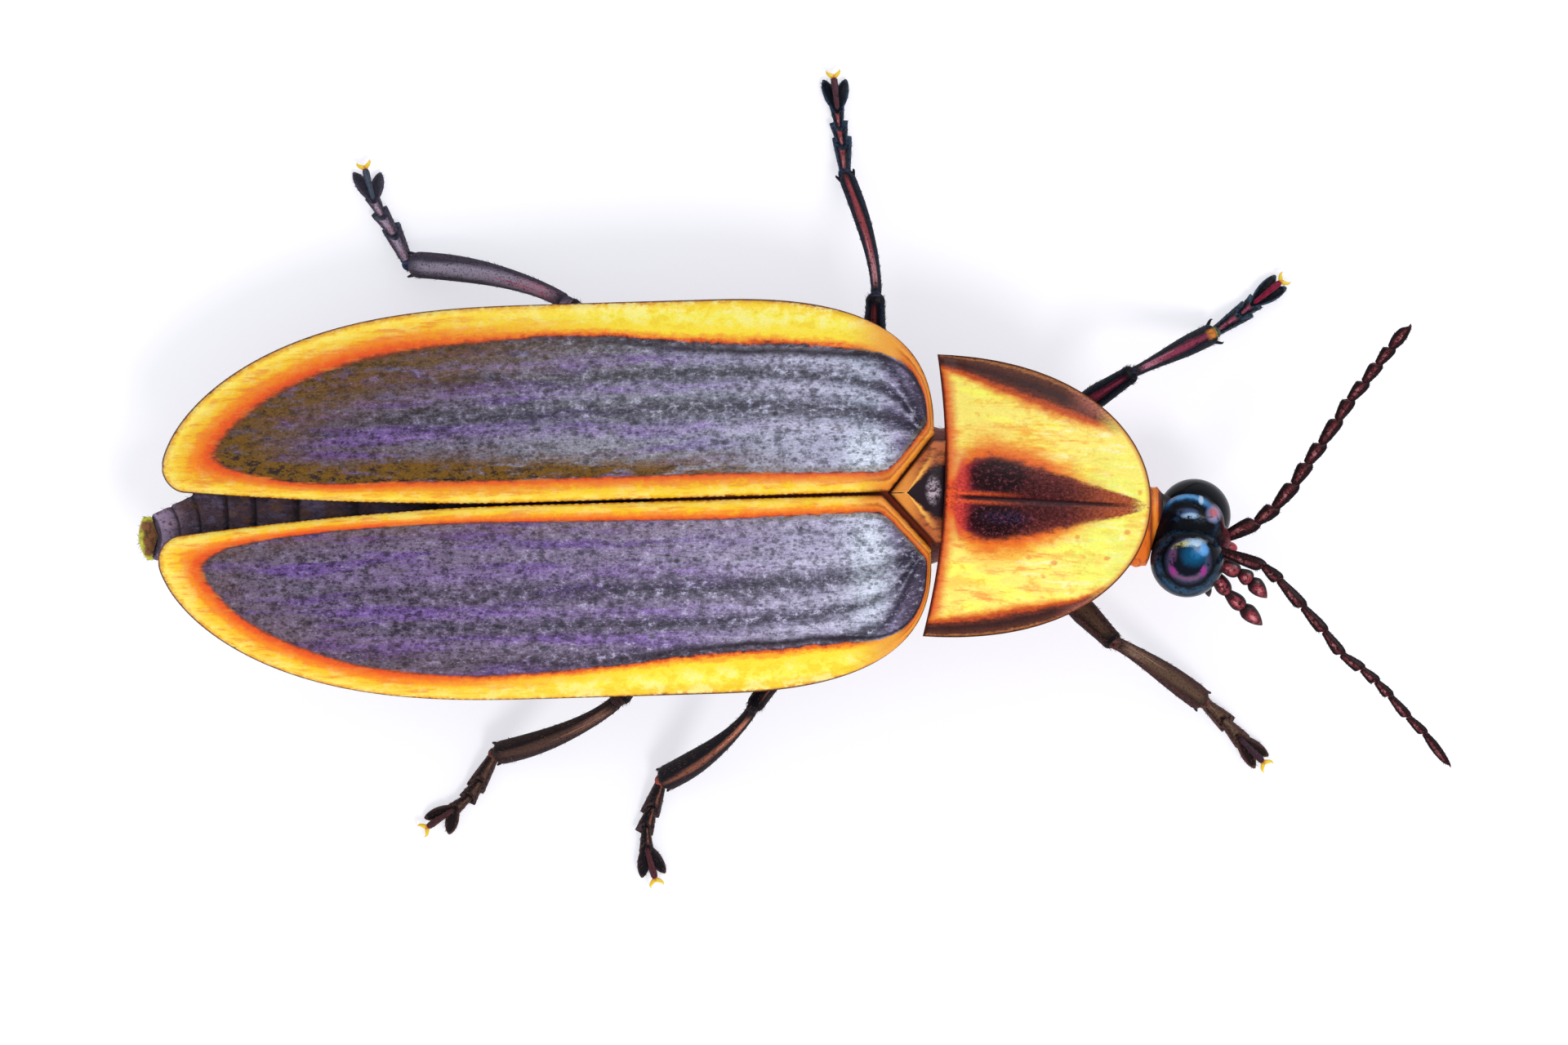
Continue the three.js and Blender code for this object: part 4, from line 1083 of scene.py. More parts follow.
def smooth_path(nodes, count):
    """Points on a curve through the nodes: each stretch is the cubic with the chord of its two neighbours
    as slope at every node."""
    nodes = np.asarray(nodes, float)
    ends = np.concatenate([2 * nodes[:1] - nodes[1:2], nodes, 2 * nodes[-1:] - nodes[-2:-1]])
    place = np.linspace(0, len(nodes) - 1, count)
    index = np.minimum(place.astype(int), len(nodes) - 2)
    t = (place - index)[:, None]
    a, b, c, d = (ends[index + k] for k in range(4))
    square, cube = 2 * a - 5 * b + 4 * c - d, 3 * b - 3 * c + d - a
    return 0.5 * (2 * b + (c - a) * t + square * t ** 2 + cube * t ** 3)


def abdomen_skin():
    """A smooth curve gives the place and width of every ring. Over each segment the rings swell by a soft
    step from the front edge and drop at the hind edge, and the edges bow backwards in the middle."""
    count = RING_STEPS * (len(ABDOMEN_JOINTS) - 1) + 1
    x, half_width = smooth_path(stacked(ABDOMEN_JOINTS, ABDOMEN_WIDTHS), count).T
    share = np.arange(count) / RING_STEPS % 1.0
    swell = -0.05 + 0.05 * ease(share, 0, 0.25) - 0.03 * ease(share, 0.95, 1.0)
    swell = swell * clip(half_width, 0.4, 1.0)
    rings, angle = trunk_rings(x, half_width + swell, belly_height(x) - swell, ABDOMEN_BACK)
    rings[..., 2] = rings[..., 2] + 1.5 * swell[:, None] * clip(np.sin(angle))
    rings[..., 0] = rings[..., 0] - 0.14 * np.cos(angle) ** 2 * ease(-x, 8.0, 10.5)[:, None]
    joint = np.maximum(bell(share, 0.0, 0.1), bell(share, 1.0, 0.04))
    fold = bell(np.sin(angle), -0.2, 0.12)
    rings[..., 1] = rings[..., 1] - 0.05 * fold * np.sign(np.cos(angle))
    return skin(rings, seam=np.maximum(joint[:, None], 0.6 * fold), up=np.sin(angle),
                tail=ease(-x, 11.3, 11.8)[:, None])


def abdomen_finish():
    rings = Finish("abdomen", (64, 46, 56), rough=0.55, shine=0.2)
    up, seam = rings.marks("up", "seam")
    grain = rings.noise(16, 4, 0.75)
    streaks = rings.noise((2, 9, 9), 4, 0.7)
    rings.lay((92, 84, 112), streaks.step(0.48, 0.64) * 0.7)
    rings.lay((96, 66, 48), rings.noise((4, 6, 6), 4).step(0.5, 0.64) * 0.6)
    rings.lay((24, 14, 22), grain.step(0.5, 0.66) * 0.6)
    rings.lay((112, 78, 54), up.step(0.1, -0.4))
    # Painted highlight: pale mauve flecks on the last rings of the tail.
    rings.lay((158, 136, 166), rings.mark("tail") * grain.step(0.3, 0.55) * 0.85)
    rings.lay((12, 6, 10), seam * 0.85)
    height = rings.cells(12) + 0.8 * rings.noise((4, 16, 16))
    return rings.done(None, height, 0.5, 0.03)


abdomen = abdomen_skin()
piece("abdomen_rings", abdomen, abdomen_finish(), "abdomen", "abdomen")

# %% [markdown]
# ## Lantern plates and tail
# Two belly plates near the tail are the lantern: pale, waxy and slightly green. Each follows the oval of
# the abdomen between two stations, a little proud of it. The small last plate of the back, the pygidium,
# sticks out between the tips of the wing cases.

# %% Lantern plates
LANTERNS = {"front": (-9.05, -9.95), "rear": (-10.05, -11.1)}
LANTERN_HEIGHT = 1.55
LANTERN_ROUND = 0.08


def lantern_skin(front, rear):
    """A shell on the lower arc of the abdomen: its thickness falls to nothing at its rims."""
    x = mix(front, rear, even_turn(50))[:, None]
    half_width = np.interp(-x, -ABDOMEN_JOINTS, ABDOMEN_WIDTHS)
    belly = belly_height(x)
    height = (LANTERN_HEIGHT - belly) / (ABDOMEN_BACK - belly)
    reach = np.arccos(clip(1 - 2 * height, -1, 1)) * 0.96
    share, face = out_and_back(even_turn(70, 0), even_turn(70, 0)[::-1])
    aside = mix(-reach, reach, share)
    angle = 1.5 * np.pi + aside
    rim = np.minimum((reach - np.abs(aside)) * half_width, np.minimum(front - x, x - rear))
    thick = 0.05 * round_rim(rim, LANTERN_ROUND) * face + 0.02
    y = trunk_middle(x) + (half_width + thick) * np.cos(angle)
    z = mix(belly - thick, ABDOMEN_BACK, (1 + np.sin(angle)) / 2)
    return skin(stacked(x, y, z), rim=rim)


def lantern_finish():
    plate = Finish("lantern", (236, 232, 176), rough=0.38, Subsurface_Weight=0.25,
                   Subsurface_Scale=0.0004)
    plate.lay((214, 226, 130), plate.noise(2).step(0.45, 0.7) * 0.6)
    plate.lay((180, 160, 96), plate.mark("rim").step(0.1, 0) * 0.7)
    return plate.done(None, plate.noise(9), 0.3, 0.02)


lantern_material = lantern_finish()
for name, (front, rear) in LANTERNS.items():
    piece(f"lantern_plate_{name}", lantern_skin(front, rear), lantern_material, "lantern", f"lantern_{name}")

# %% [markdown]
# ## Limbs
# Legs, feelers and mouthparts are all limbs: a round or oval section carried along a path, with its own
# width and height at every step. Each limb stores how far along a point lies, whether it faces up, and how
# far to the side it is.

# %% Limbs along a path
def path_frames(path, up=(0, 0, 1)):
    """Unit vectors across and over each point of a path: across is square to up and to the path."""
    along = unit(np.gradient(path, axis=0))
    across = unit(np.cross(np.asarray(up, float), along))
    return along, across, np.cross(along, across)


def limb(path, wide, high, columns=24, tone=0.0, up=(0, 0, 1), lengthen=None):
    """Ovals square to the path: across times cosine times half-width plus over times sine times
    half-height. lengthen, if given, moves points along the path, by a length for every row and column."""
    angle = np.linspace(0, 2 * np.pi, columns, endpoint=False)[None, :, None]
    along, across, over = (part[:, None, :] for part in path_frames(path, up))
    wide, high = (np.reshape(size, (-1, 1, 1)) for size in (wide, high))
    rings = path[:, None, :] + across * np.cos(angle) * wide + over * np.sin(angle) * high
    length = np.concatenate([[0.0], np.cumsum(np.linalg.norm(np.diff(path, axis=0), axis=1))])
    share = (length / length[-1])[:, None] * np.ones((1, columns))
    if lengthen is not None:
        rings = rings + along * lengthen(share, np.cos(angle[..., 0]))[..., None]
    return skin(rings, along=share, up=np.sin(angle[..., 0]), side=np.cos(angle[..., 0]), tone=tone)


def ends_closed(share, front=0.12, back=0.12):
    """A factor that closes a limb in a quarter circle over a share of its length at both ends."""
    return np.maximum(round_rim(share, front) * round_rim(1 - share, back), 0.02)


def ellipsoid(centre, radii, axes=np.eye(3), rows=40, columns=48, tone=0.0):
    """An ellipsoid: its sections along the first axis shrink as the cosine of the latitude."""
    turn = np.pi * np.linspace(0.02, 0.98, rows)
    path = np.asarray(centre, float) - np.cos(turn)[:, None] * radii[0] * np.asarray(axes[0], float)
    size = np.sin(turn)
    return limb(path, radii[1] * size, radii[2] * size, columns, tone, up=axes[2])


print("limb() carries a section along a path")

# %% Tail plate
TAIL_HEIGHT = 1.8
TAIL_STATIONS = (-12.22, -12.1, -11.95, -11.8)
TAIL_WIDTHS = (0.26, 0.34, 0.32, 0.3)


def pygidium_skin():
    """A short flat limb, from under the last ring of the abdomen to its rounded end."""
    x = mix(TAIL_STATIONS[-1], TAIL_END + 0.02, even_turn(30))
    path = stacked(x, trunk_middle(x), TAIL_HEIGHT)
    width = np.interp(x, TAIL_STATIONS, TAIL_WIDTHS)
    closing = ends_closed((x - x[0]) / (x[-1] - x[0]), 0.05, 0.35)
    return limb(path, width * closing, 0.55 * width * closing, 40)


def pygidium_finish():
    plate = Finish("tail_plate", (140, 92, 56), rough=0.55, shine=0.2)
    grain = plate.noise((12, 9, 9), 4, 0.7)
    rim = abs(plate.mark("side")).most(plate.mark("along")) + (grain - 0.5) * 0.5
    plate.lay((74, 54, 36), grain.step(0.46, 0.6) * 0.8)
    plate.lay((206, 206, 62), rim.step(0.72, 0.95))
    return plate.done(None, plate.noise(12), 0.5, 0.03)


tail = pygidium_skin()
piece("tail_plate", tail, pygidium_finish(), "pygidium", "pygidium")

# %% [markdown]
# ## Head
# The head hangs forwards and is turned a little, so the right eye looks up. It has its own three axes. The
# capsule is one skin: from a point inside it, rays go out in every direction to the surfaces of several
# ellipsoids, and a soft maximum of their distances blends skull, forehead, crown and mouth without a seam.
# Low bumps and a bent ridge are then raised on the crown, which covers half of the left eye.

# %% Head capsule
HEAD_CENTRE = np.array([3.82, -0.67, 1.85])
HEAD_FORWARD = unit(np.array([0.98, -0.156, -0.1]))
head_left = np.array([0.151, 0.8, -0.58])
HEAD_LEFT = unit(head_left - head_left.dot(HEAD_FORWARD) * HEAD_FORWARD)
HEAD_UP = np.cross(HEAD_FORWARD, HEAD_LEFT)
HEAD_AXES = np.stack([HEAD_FORWARD, HEAD_LEFT, HEAD_UP])
EYE_RADIUS = 0.56
HEAD_LOBES = [
    ((-0.05, 0, 0), (0.62, 0.36, 0.5)),
    ((0.4, -0.06, -0.34), (0.3, 0.3, 0.26)),
    ((-0.02, 0.15, 0.34), (0.48, 0.4, 0.31)),
    ((0.38, 0.02, 0.1), (0.24, 0.24, 0.22)),
]
CROWN_MIDDLE = (-0.053, 0.218)
CROWN_RIDGE = 0.45
CROWN_HOLLOW = 0.31
PALE_BUMP = ((-0.04, 0.396), (0.2, 0.09))
VIOLET_BUMP = ((0.36, 0.378), (0.15, 0.17))
HEAD_BLACK = (6, 8, 14)


def from_head(points):
    return HEAD_CENTRE + points @ HEAD_AXES


def ray_reach(directions, centre, radii):
    """How far a ray from the middle goes until it leaves an ellipsoid: the larger root of a quadratic, or
    0."""
    d, c = directions / radii, np.array(centre) / radii
    a, b, e = (d * d).sum(-1), -2 * (d * c).sum(-1), (c * c).sum() - 1
    inside = b * b - 4 * a * e
    reach = (-b + np.sqrt(clip(inside, 0, 1e9))) / (2 * a)
    return np.where((inside > 0) & (reach > 0), reach, 0.0)


def spot(across, along, centre, size):
    """A round hill of height one over an oval."""
    return bell(across, centre[0], size[0] * 0.6) * bell(along, centre[1], size[1] * 0.6)


def capsule_skin():
    """Directions on a sphere with its poles ahead and behind, each scaled by the soft maximum of its
    reaches. The mark over holds how far a point lies ahead of, to the left of and above the head's
    centre."""
    turn = np.pi * np.linspace(0.015, 0.985, 190)[:, None]
    angle = np.linspace(0, 2 * np.pi, 200, endpoint=False)[None, :]
    x, ring = np.cos(turn), np.sin(turn)
    directions = stacked(x, ring * np.cos(angle), ring * np.sin(angle))
    reaches = [ray_reach(directions, centre, radii) for centre, radii in HEAD_LOBES]
    reach = sum(one ** 12 for one in reaches) ** (1 / 12)
    points = from_head(directions * reach[..., None])
    over = points - HEAD_CENTRE
    east, north = over[..., 0], over[..., 1]
    round_crown = np.hypot(east - CROWN_MIDDLE[0], north - CROWN_MIDDLE[1])
    relief = 0.05 * bell(round_crown, CROWN_RIDGE, 0.05) - 0.06 * bell(round_crown, CROWN_HOLLOW, 0.06)
    relief = relief * ease(north, 0.3, 0.5) + 0.07 * spot(east, north, *PALE_BUMP)
    relief = relief + 0.08 * spot(east, north, *VIOLET_BUMP)
    points[..., 2] = points[..., 2] + relief * ease(over[..., 2], 0.05, 0.3)
    return skin(points, over=over)


def capsule_finish():
    """Black, with painted blue, pale and violet highlights on the crown's ridge and bumps, painted shade in
    its hollows, and a red-brown mouth.
    """
    head = Finish("head", (8, 12, 20), rough=0.35, shine=0.08)
    east, north, above = head.parts(head.mark_place("over"))
    grain = head.noise(9, 4, 0.65)
    patchy, top = grain.step(0.3, 0.5), above.step(0.05, 0.25)
    crown = ((east - CROWN_MIDDLE[0]) ** 2 + (north - CROWN_MIDDLE[1]) ** 2) ** 0.5
    crown = crown + (grain - 0.5) * 0.07
    hollow = (north + (grain - 0.5) * 0.2).step(0.33, 0.2) * (east + grain * 0.2).step(0.55, 0.35)
    ridge = crown.hill(0.43, 0.05) * north.step(0.45, 0.6) * east.step(0.42, 0.2)
    head.lay((28, 58, 88), grain.step(0.44, 0.62) * 0.6)
    # Painted shade: black in the crown's hollow.
    head.lay(HEAD_BLACK, hollow * top)
    # Painted highlights: a blue band and a pale blue crescent along the crown's ridge.
    head.lay((28, 96, 148), crown.hill(0.44, 0.11) * north.step(0.3, 0.55) * top)
    head.lay((92, 158, 212), ridge * top)
    # Black laid back: painted shade in the ring-shaped hollow inside the ridge, the head's own black beyond
    # the ridge, and painted shade in the valley between the bumps.
    head.lay(HEAD_BLACK, crown.hill(0.3, 0.12) * north.step(0.28, 0.4) * top)
    head.lay(HEAD_BLACK, crown.step(0.49, 0.52) * top)
    head.lay(HEAD_BLACK, head.oval(east, north, (0.15, 0.38), (0.12, 0.16)) * 0.8)
    # Painted highlights: pale blue and whitish on the pale bump, violet on the other bump.
    head.lay((70, 92, 132), head.oval(east, north, *PALE_BUMP) * grain.step(0.25, 0.5))
    head.lay((158, 190, 220), head.oval(east, north, (0, 0.35), (0.17, 0.06)) * patchy)
    head.lay((150, 152, 192), head.oval(east, north, *VIOLET_BUMP) * patchy * 0.9)
    head.lay((196, 92, 92), head.oval(east, north, (0.36, 0.4), (0.1, 0.1)) * 0.8)
    # Painted highlight: a white spot near the top of the ridge.
    head.lay((198, 222, 244), head.oval(east, north, (0.17, 0.6), (0.05, 0.1)) * 0.8)
    head.lay((132, 96, 128), head.oval(east, north, (-0.3, 0.63), (0.1, 0.09)) * grain.step(0.4, 0.6))
    head.lay((108, 44, 52), east.step(0.42, 0.6) * grain.step(0.3, 0.6) * 0.9)
    head.lay((26, 14, 20), east.step(-0.32, -0.5))
    height = head.cells(20) + 0.5 * head.noise(14)
    return head.done(None, height, 0.3, 0.012)


piece("head_capsule", capsule_skin(), capsule_finish(), "head", "head")

# %% [markdown]
# ## Eyes
# Each eye is a large globe, and its hundreds of small lenses are a fine bump of cells. The eye is
# blue-black. Round the point of the right eye that looks up, painted reflections lie in rings as in a soap
# film: a teal middle with a dark pupil beside it, a pale ring that turns yellow, magenta and sky blue, whose
# pale and sky-blue parts are a painted highlight, and a blue-grey one.

# %% Eyes
def eye_skin(place):
    """A globe beside the skull. The mark facing is the unit vector from its middle, in the model's
    directions."""
    centre = from_head(np.array(place))
    globe = ellipsoid(centre, (EYE_RADIUS,) * 3, HEAD_AXES, 110, 140)
    facing = (globe["points"] - centre) / EYE_RADIUS
    globe["marks"] = {"facing": facing}
    return globe


def eye_rings(eye, reach, grain, seen):
    """Painted reflections, from the rim inwards: blue-grey rings, a violet one, the black inside it, and a
    mauve lower arc. Gives the violet ring's mask."""
    east, north, _ = eye.parts(eye.mark_place("facing"))
    ring = reach.hill(0.52, 0.18) * seen
    rim = reach.hill(0.83, 0.14) * (east + north).step(1.2, -0.6) * grain.step(0.36, 0.58)
    eye.lay((38, 78, 110), rim * seen)
    eye.lay((24, 58, 84), reach.hill(0.92, 0.12) * grain.step(0.42, 0.58) * seen * 0.8)
    eye.lay((74, 76, 108), ring * grain.step(0.3, 0.5) * 0.75)
    eye.lay((10, 16, 30), reach.step(0.46, 0.34) * seen)
    eye.lay((128, 88, 120), reach.hill(0.5, 0.1) * north.step(-0.1, -0.3) * seen * 0.7)
    return ring


def eye_spots(eye, grain, ring, seen):
    """Painted reflections: magenta arcs on the ring, the teal middle and a yellow arc, and a painted
    highlight of pale and sky-blue arcs above the middle.
    """
    east, north, _ = eye.parts(eye.mark_place("facing"))
    rough, broken, patchy = grain - 0.5, grain.step(0.3, 0.55), grain.step(0.35, 0.55)
    wavy_east, wavy_north = east + rough * 0.2, north + rough * 0.2
    left_arc = eye.oval(east + rough * 0.1, north, (-0.4, -0.2), (0.16, 0.3))
    right_arc = eye.oval(east + rough * 0.1, north, (0.4, -0.27), (0.13, 0.2))
    arcs = left_arc.most(right_arc) * ring.step(0.1, 0.7) * broken
    pale = eye.oval(east + rough * 0.3, wavy_north, (0.16, 0.5), (0.4, 0.15)) * broken
    yellow = eye.oval(wavy_east, north - 0.35 * east + rough * 0.3, (-0.2, 0.52), (0.3, 0.1))
    eye.lay((160, 48, 140), arcs * 0.9)
    eye.lay((120, 70, 112), eye.oval(east, north, (-0.42, 0.16), (0.14, 0.26)) * seen * patchy * 0.7)
    eye.lay((10, 78, 116), eye.oval(wavy_east, wavy_north, (0.15, 0.16), (0.48, 0.4)) * seen)
    eye.lay((28, 106, 160), eye.oval(east, north, (0.24, 0.2), (0.26, 0.2)) * seen * patchy)
    eye.lay((182, 214, 240), pale * seen * 0.9)
    eye.lay((98, 166, 230), eye.oval(wavy_east, north, (0.42, 0.3), (0.17, 0.22)) * seen * 0.95)
    eye.lay((202, 194, 96), yellow * patchy * seen * 0.85)


def eye_finish(name, painted_gloss):
    """Blue-black lenses. The painted reflections and highlight are laid on the upper half, as far as the
    last argument says.
    """
    eye = Finish(name, (7, 10, 16), rough=0.22, shine=0.08)
    east, north, up = eye.parts(eye.mark_place("facing"))
    grain = eye.noise(11, 5, 0.75)
    reach = (east * east + north * north) ** 0.5 + (grain - 0.5) * 0.18
    seen = up.step(0, 0.2) * painted_gloss
    ring = eye_rings(eye, reach, grain, seen)
    eye_spots(eye, grain, ring, seen)
    eye.shade(0.7 + 0.6 * eye.noise(36, 2, 0.8))
    return eye.done(None, eye.cells(34), 0.12, 0.004)


# Only the right eye gets the painted reflections and highlight; the last number says how much.
EYES = (("left", (0.06, 0.45, 0), 0.0), ("right", (-0.01, -0.41, 0), 1.0))
for name, place, painted_gloss in EYES:
    piece(f"eye_globe_{name}", eye_skin(place), eye_finish(f"eye_{name}", painted_gloss), "eye", f"eye_{name}")

# %% [markdown]
# ## Neck
# A soft orange fold of skin comes out from under the pronotum. From it a short dark collar leads to the
# head.

# %% Neck
NECK_HEIGHT = 1.92
NECK_STATIONS = (2.6, 3.0, 3.16, 3.21, 3.26, 3.33, 3.37, 3.41, 3.5, 3.7)
NECK_MIDDLES = (-0.3, -0.44, -0.46, -0.42, -0.33, -0.26, -0.25, -0.26, -0.3, -0.4)
NECK_WIDTHS = (0.7, 0.66, 0.62, 0.55, 0.45, 0.38, 0.32, 0.29, 0.28, 0.27)


def neck_skin():
    """Ovals square to the x axis, each with its own middle and width, and fine folds added as a sine
    wave."""
    x = np.linspace(NECK_STATIONS[0], NECK_STATIONS[-1], 120)[:, None]
    angle = np.linspace(0, 2 * np.pi, 72, endpoint=False)[None, :]
    middle = np.interp(x, NECK_STATIONS, NECK_MIDDLES)
    width = np.interp(x, NECK_STATIONS, NECK_WIDTHS) + 0.005 * np.sin(38 * x)
    z = NECK_HEIGHT + 0.86 * width * np.sin(angle)
    return skin(stacked(x, middle + width * np.cos(angle), z), ahead=x)


def neck_finish():
    neck = Finish("neck", (238, 118, 34), rough=0.55, shine=0.15)
    ahead = neck.mark("ahead") + (neck.noise(6) - 0.5) * 0.04
    neck.lay((186, 76, 34), neck.noise((14, 5, 5)).step(0.48, 0.64) * 0.8)
    neck.lay((120, 50, 30), ahead.hill(3.225, 0.035) * 0.8)
    neck.lay((248, 158, 52), ahead.hill(3.29, 0.04) * 0.8)
    neck.lay((104, 44, 30), ahead.step(3.32, 3.36))
    neck.lay((24, 12, 16), ahead.step(3.36, 3.41))
    return neck.done(None, neck.noise((16, 6, 6)), 0.5, 0.03)


piece("neck_skin", neck_skin(), neck_finish(), "neck", "neck")

# %% [markdown]
# ## Feelers
# Each antenna has eleven segments. A segment is a wedge: narrow at its root, widest near its end, and
# rounded off there, with a thin stalk into the one before.

# %% Antennae
ANTENNAE = {
    "left": [
        (4.3, -0.68, 1.85), (4.85, -0.41, 2), (5.12, -0.19, 2.1), (5.41, 0.17, 2.2), (5.6, 0.48, 2.3),
        (5.81, 0.78, 2.4), (6.05, 1.15, 2.55), (6.22, 1.44, 2.7), (6.44, 1.71, 2.8), (6.63, 1.98, 2.95),
        (6.82, 2.22, 3.05), (7.07, 2.54, 3.2),
    ],
    "right": [
        (4.3, -0.86, 2.05), (4.94, -1.09, 2.3), (5.17, -1.3, 2.4), (5.53, -1.71, 2.45), (5.85, -2.08, 2.5),
        (6.11, -2.43, 2.5), (6.42, -2.65, 2.5), (6.64, -2.84, 2.45), (6.85, -3.06, 2.4), (7.13, -3.38, 2.3),
        (7.39, -3.63, 2.2), (7.77, -4.12, 2),
    ],
}
ANTENNA_WIDTHS = {"left": (0.125, 0.098), "right": (0.105, 0.074)}
ANTENNA_SLANTS = {"left": -0.05, "right": 0.04}
# How far towards the side the painted highlight streak of each antenna lies.
ANTENNA_HIGHLIGHT_PLACES = {"left": 0.0, "right": 0.3}


def wedge(start, end, width, tone, root, widest, flat=0.8, slant=0.0, point=0.5):
    """A segment from start to end: it widens as a quarter sine wave up to its widest place and closes
    behind it, as a quarter circle with point at a half, and more like a cone above. slant moves one side
    on."""
    share = np.linspace(0, 1, 26)
    path = np.asarray(start) + share[:, None] * (np.asarray(end) - np.asarray(start))
    closing = np.maximum(clip(1 - clip((share - widest) / (1 - widest)) ** 2) ** point, 0.02)
    opening = mix(root, 1.0, np.sin(np.pi / 2 * clip(share / widest)) ** 1.3)
    size = width * opening * closing * ends_closed(share, 0.06, 0.001)
    return limb(path, size, flat * size, 20, tone, lengthen=lambda t, c: slant * t ** 4 * c)


def antenna_skins(name):
    """A chain of wedges whose widths shrink evenly, each with its root a little inside the one before."""
    joints = np.array(ANTENNAE[name], float)
    first, last = ANTENNA_WIDTHS[name]
    skins = []
    for k in range(len(joints) - 1):
        share = k / (len(joints) - 2)
        along = joints[k + 1] - joints[k]
        reach = joints[k] - 0.05 * along, joints[k + 1] + 0.03 * along
        widest = 0.45 if k == len(joints) - 2 else 0.8
        skins.append(wedge(*reach, mix(first, last, share), k % 3 / 2, 0.58, widest,
                           slant=ANTENNA_SLANTS[name]))
    return skins


def antenna_finish(name, outer):
    """The painted highlight streak lies in the middle on the left antenna, and nearer the inner side on the
    right one; the sides get painted shade.
    """
    feeler = Finish(name, (32, 16, 20), rough=0.5, shine=0.06)
    along, up, side, tone = feeler.marks("along", "up", "side", "tone")
    at = feeler.node("CombineXYZ", {}, {0: along * 3, 1: side * 3.5, 2: up + tone * 4})
    threads = feeler.noise(1, 5, 0.7, at)
    grain = feeler.noise(22, 4, 0.8)
    # Painted highlight: a red streak on the upper face of each segment, with pink spots in its middle.
    highlight_streak = (abs(side + outer) + (threads - 0.5) * 1.2).step(0.42, 0.08) * up.step(0, 0.4)
    inner = highlight_streak * along.step(0.05, 0.25) * along.step(0.97, 0.8)
    painted_gloss = highlight_streak * (along + threads - 0.5).hill(0.5, 0.2)
    ends = along.step(0.06, 0.02).most(along.step(0.93, 0.98))
    feeler.lay((70, 36, 40), grain.step(0.46, 0.6) * 0.6)
    feeler.lay((128, 60, 64), inner * grain.step(0.36, 0.58) * 0.85)
    feeler.lay((206, 138, 142), painted_gloss * grain.step(0.46, 0.58) * 0.6)
    # Painted shade: the sides of each segment are darkened nearly to black.
    feeler.lay((13, 8, 12), abs(side).step(0.5, 0.8) * grain.step(0.3, 0.5) * 0.9)
    feeler.lay((176, 92, 94), ends * grain.step(0.4, 0.6) * 0.6)
    return feeler.done(None, feeler.cells(28), 0.4, 0.01)


feeler_skins = {name: antenna_skins(name) for name in ANTENNAE}
for name, skins in feeler_skins.items():
    finish = antenna_finish(f"antenna_{name}", ANTENNA_HIGHLIGHT_PLACES[name])
    piece(f"feeler_{name}", skins, finish, "antenna", f"antenna_{name}")

# %% [markdown]
# ## Mouthparts
# The upper lip is a small plate. The palps are short chains of rounded segments with a pointed last one,
# dark red with painted shade along their sides and a painted pinkish red highlight where they face the
# light.
# The jaws are small dark hooks that cross below.

# %% Palps, jaws and lip
MAXILLARY_PALPS = {
    "left": [(4.3, -1.06, 1.7), (4.6, -1.18, 1.7), (4.78, -1.31, 1.68), (5.02, -1.57, 1.6)],
    "right": [(4.22, -1.2, 1.6), (4.43, -1.5, 1.5), (4.67, -1.72, 1.38), (4.97, -1.99, 1.2)],
}
LABIAL_PALPS = {
    "left": [(4.2, -1.0, 1.36), (4.44, -1.14, 1.22), (4.6, -1.22, 1.1)],
    "right": [(4.04, -1.18, 1.42), (4.12, -1.38, 1.3), (4.16, -1.56, 1.2)],
}
MANDIBLES = {
    "left": [(4.22, -0.82, 1.6), (4.42, -0.9, 1.55), (4.56, -1.0, 1.48), (4.58, -1.1, 1.44)],
    "right": [(4.2, -1.02, 1.44), (4.4, -1.12, 1.38), (4.54, -1.12, 1.32), (4.6, -1.06, 1.3)],
}


def palp_skins(joints, width):
    """A chain of short wedges. The last is widest near its root and comes to a point."""
    joints = np.array(joints, float)
    skins = []
    for k in range(len(joints) - 1):
        along = joints[k + 1] - joints[k]
        last = k == len(joints) - 2
        over, share, widest, point = (0.03, 0.95, 0.3, 0.9) if last else (0.08, 0.92, 0.62, 0.5)
        skins.append(wedge(joints[k] - 0.06 * along, joints[k + 1] + over * along, width * share, k / 3,
                           0.55, widest, 0.85, point=point))
    return skins


def palp_finish():
    palp = Finish("palp", (56, 16, 23), rough=0.4, shine=0.15)
    along, up, side = palp.marks("along", "up", "side")
    grain = palp.noise(14, 4, 0.65)
    # Painted highlights: red on the upper face and pink in its middle; painted shade on the sides, and dark
    # at the root of each segment.
    red = palp.oval(side, along, (-0.1, 0.55), (0.85, 0.5)) * up.step(0, 0.5)
    pink = palp.oval(side, along, (-0.15, 0.5), (0.35, 0.22))
    dark = abs(side + 0.1).step(0.6, 0.9).most(along.step(0.28, 0.08))
    palp.lay((176, 72, 84), red * grain.step(0.38, 0.6) * 0.95)
    palp.lay((232, 150, 156), pink * grain.step(0.44, 0.58) * 0.7)
    palp.lay((20, 8, 13), dark * grain.step(0.3, 0.5) * 0.9)
    return palp.done(None, palp.noise(20), 0.3, 0.01)


def jaw_skin(places):
    """A hook along a smooth path, thick at its root and pointed at its end."""
    path = smooth_path(places, 40)
    share = np.linspace(0, 1, 40)
    width = np.interp(share, (0, 0.5, 1), (0.1, 0.075, 0.012)) * ends_closed(share, 0.05, 0.03)
    return limb(path, width, width * 0.9, 20)


def jaw_finish():
    jaw = Finish("jaw", (24, 15, 19), rough=0.3, shine=0.3)
    jaw.lay((96, 36, 34), jaw.mark("along").step(0.5, 1) * 0.6)
    return jaw.done(None, jaw.noise(16), 0.2, 0.01)


def lip_finish():
    lip = Finish("lip", (196, 66, 78), rough=0.4, shine=0.3)
    return lip.done(None, lip.noise(16), 0.3, 0.01)


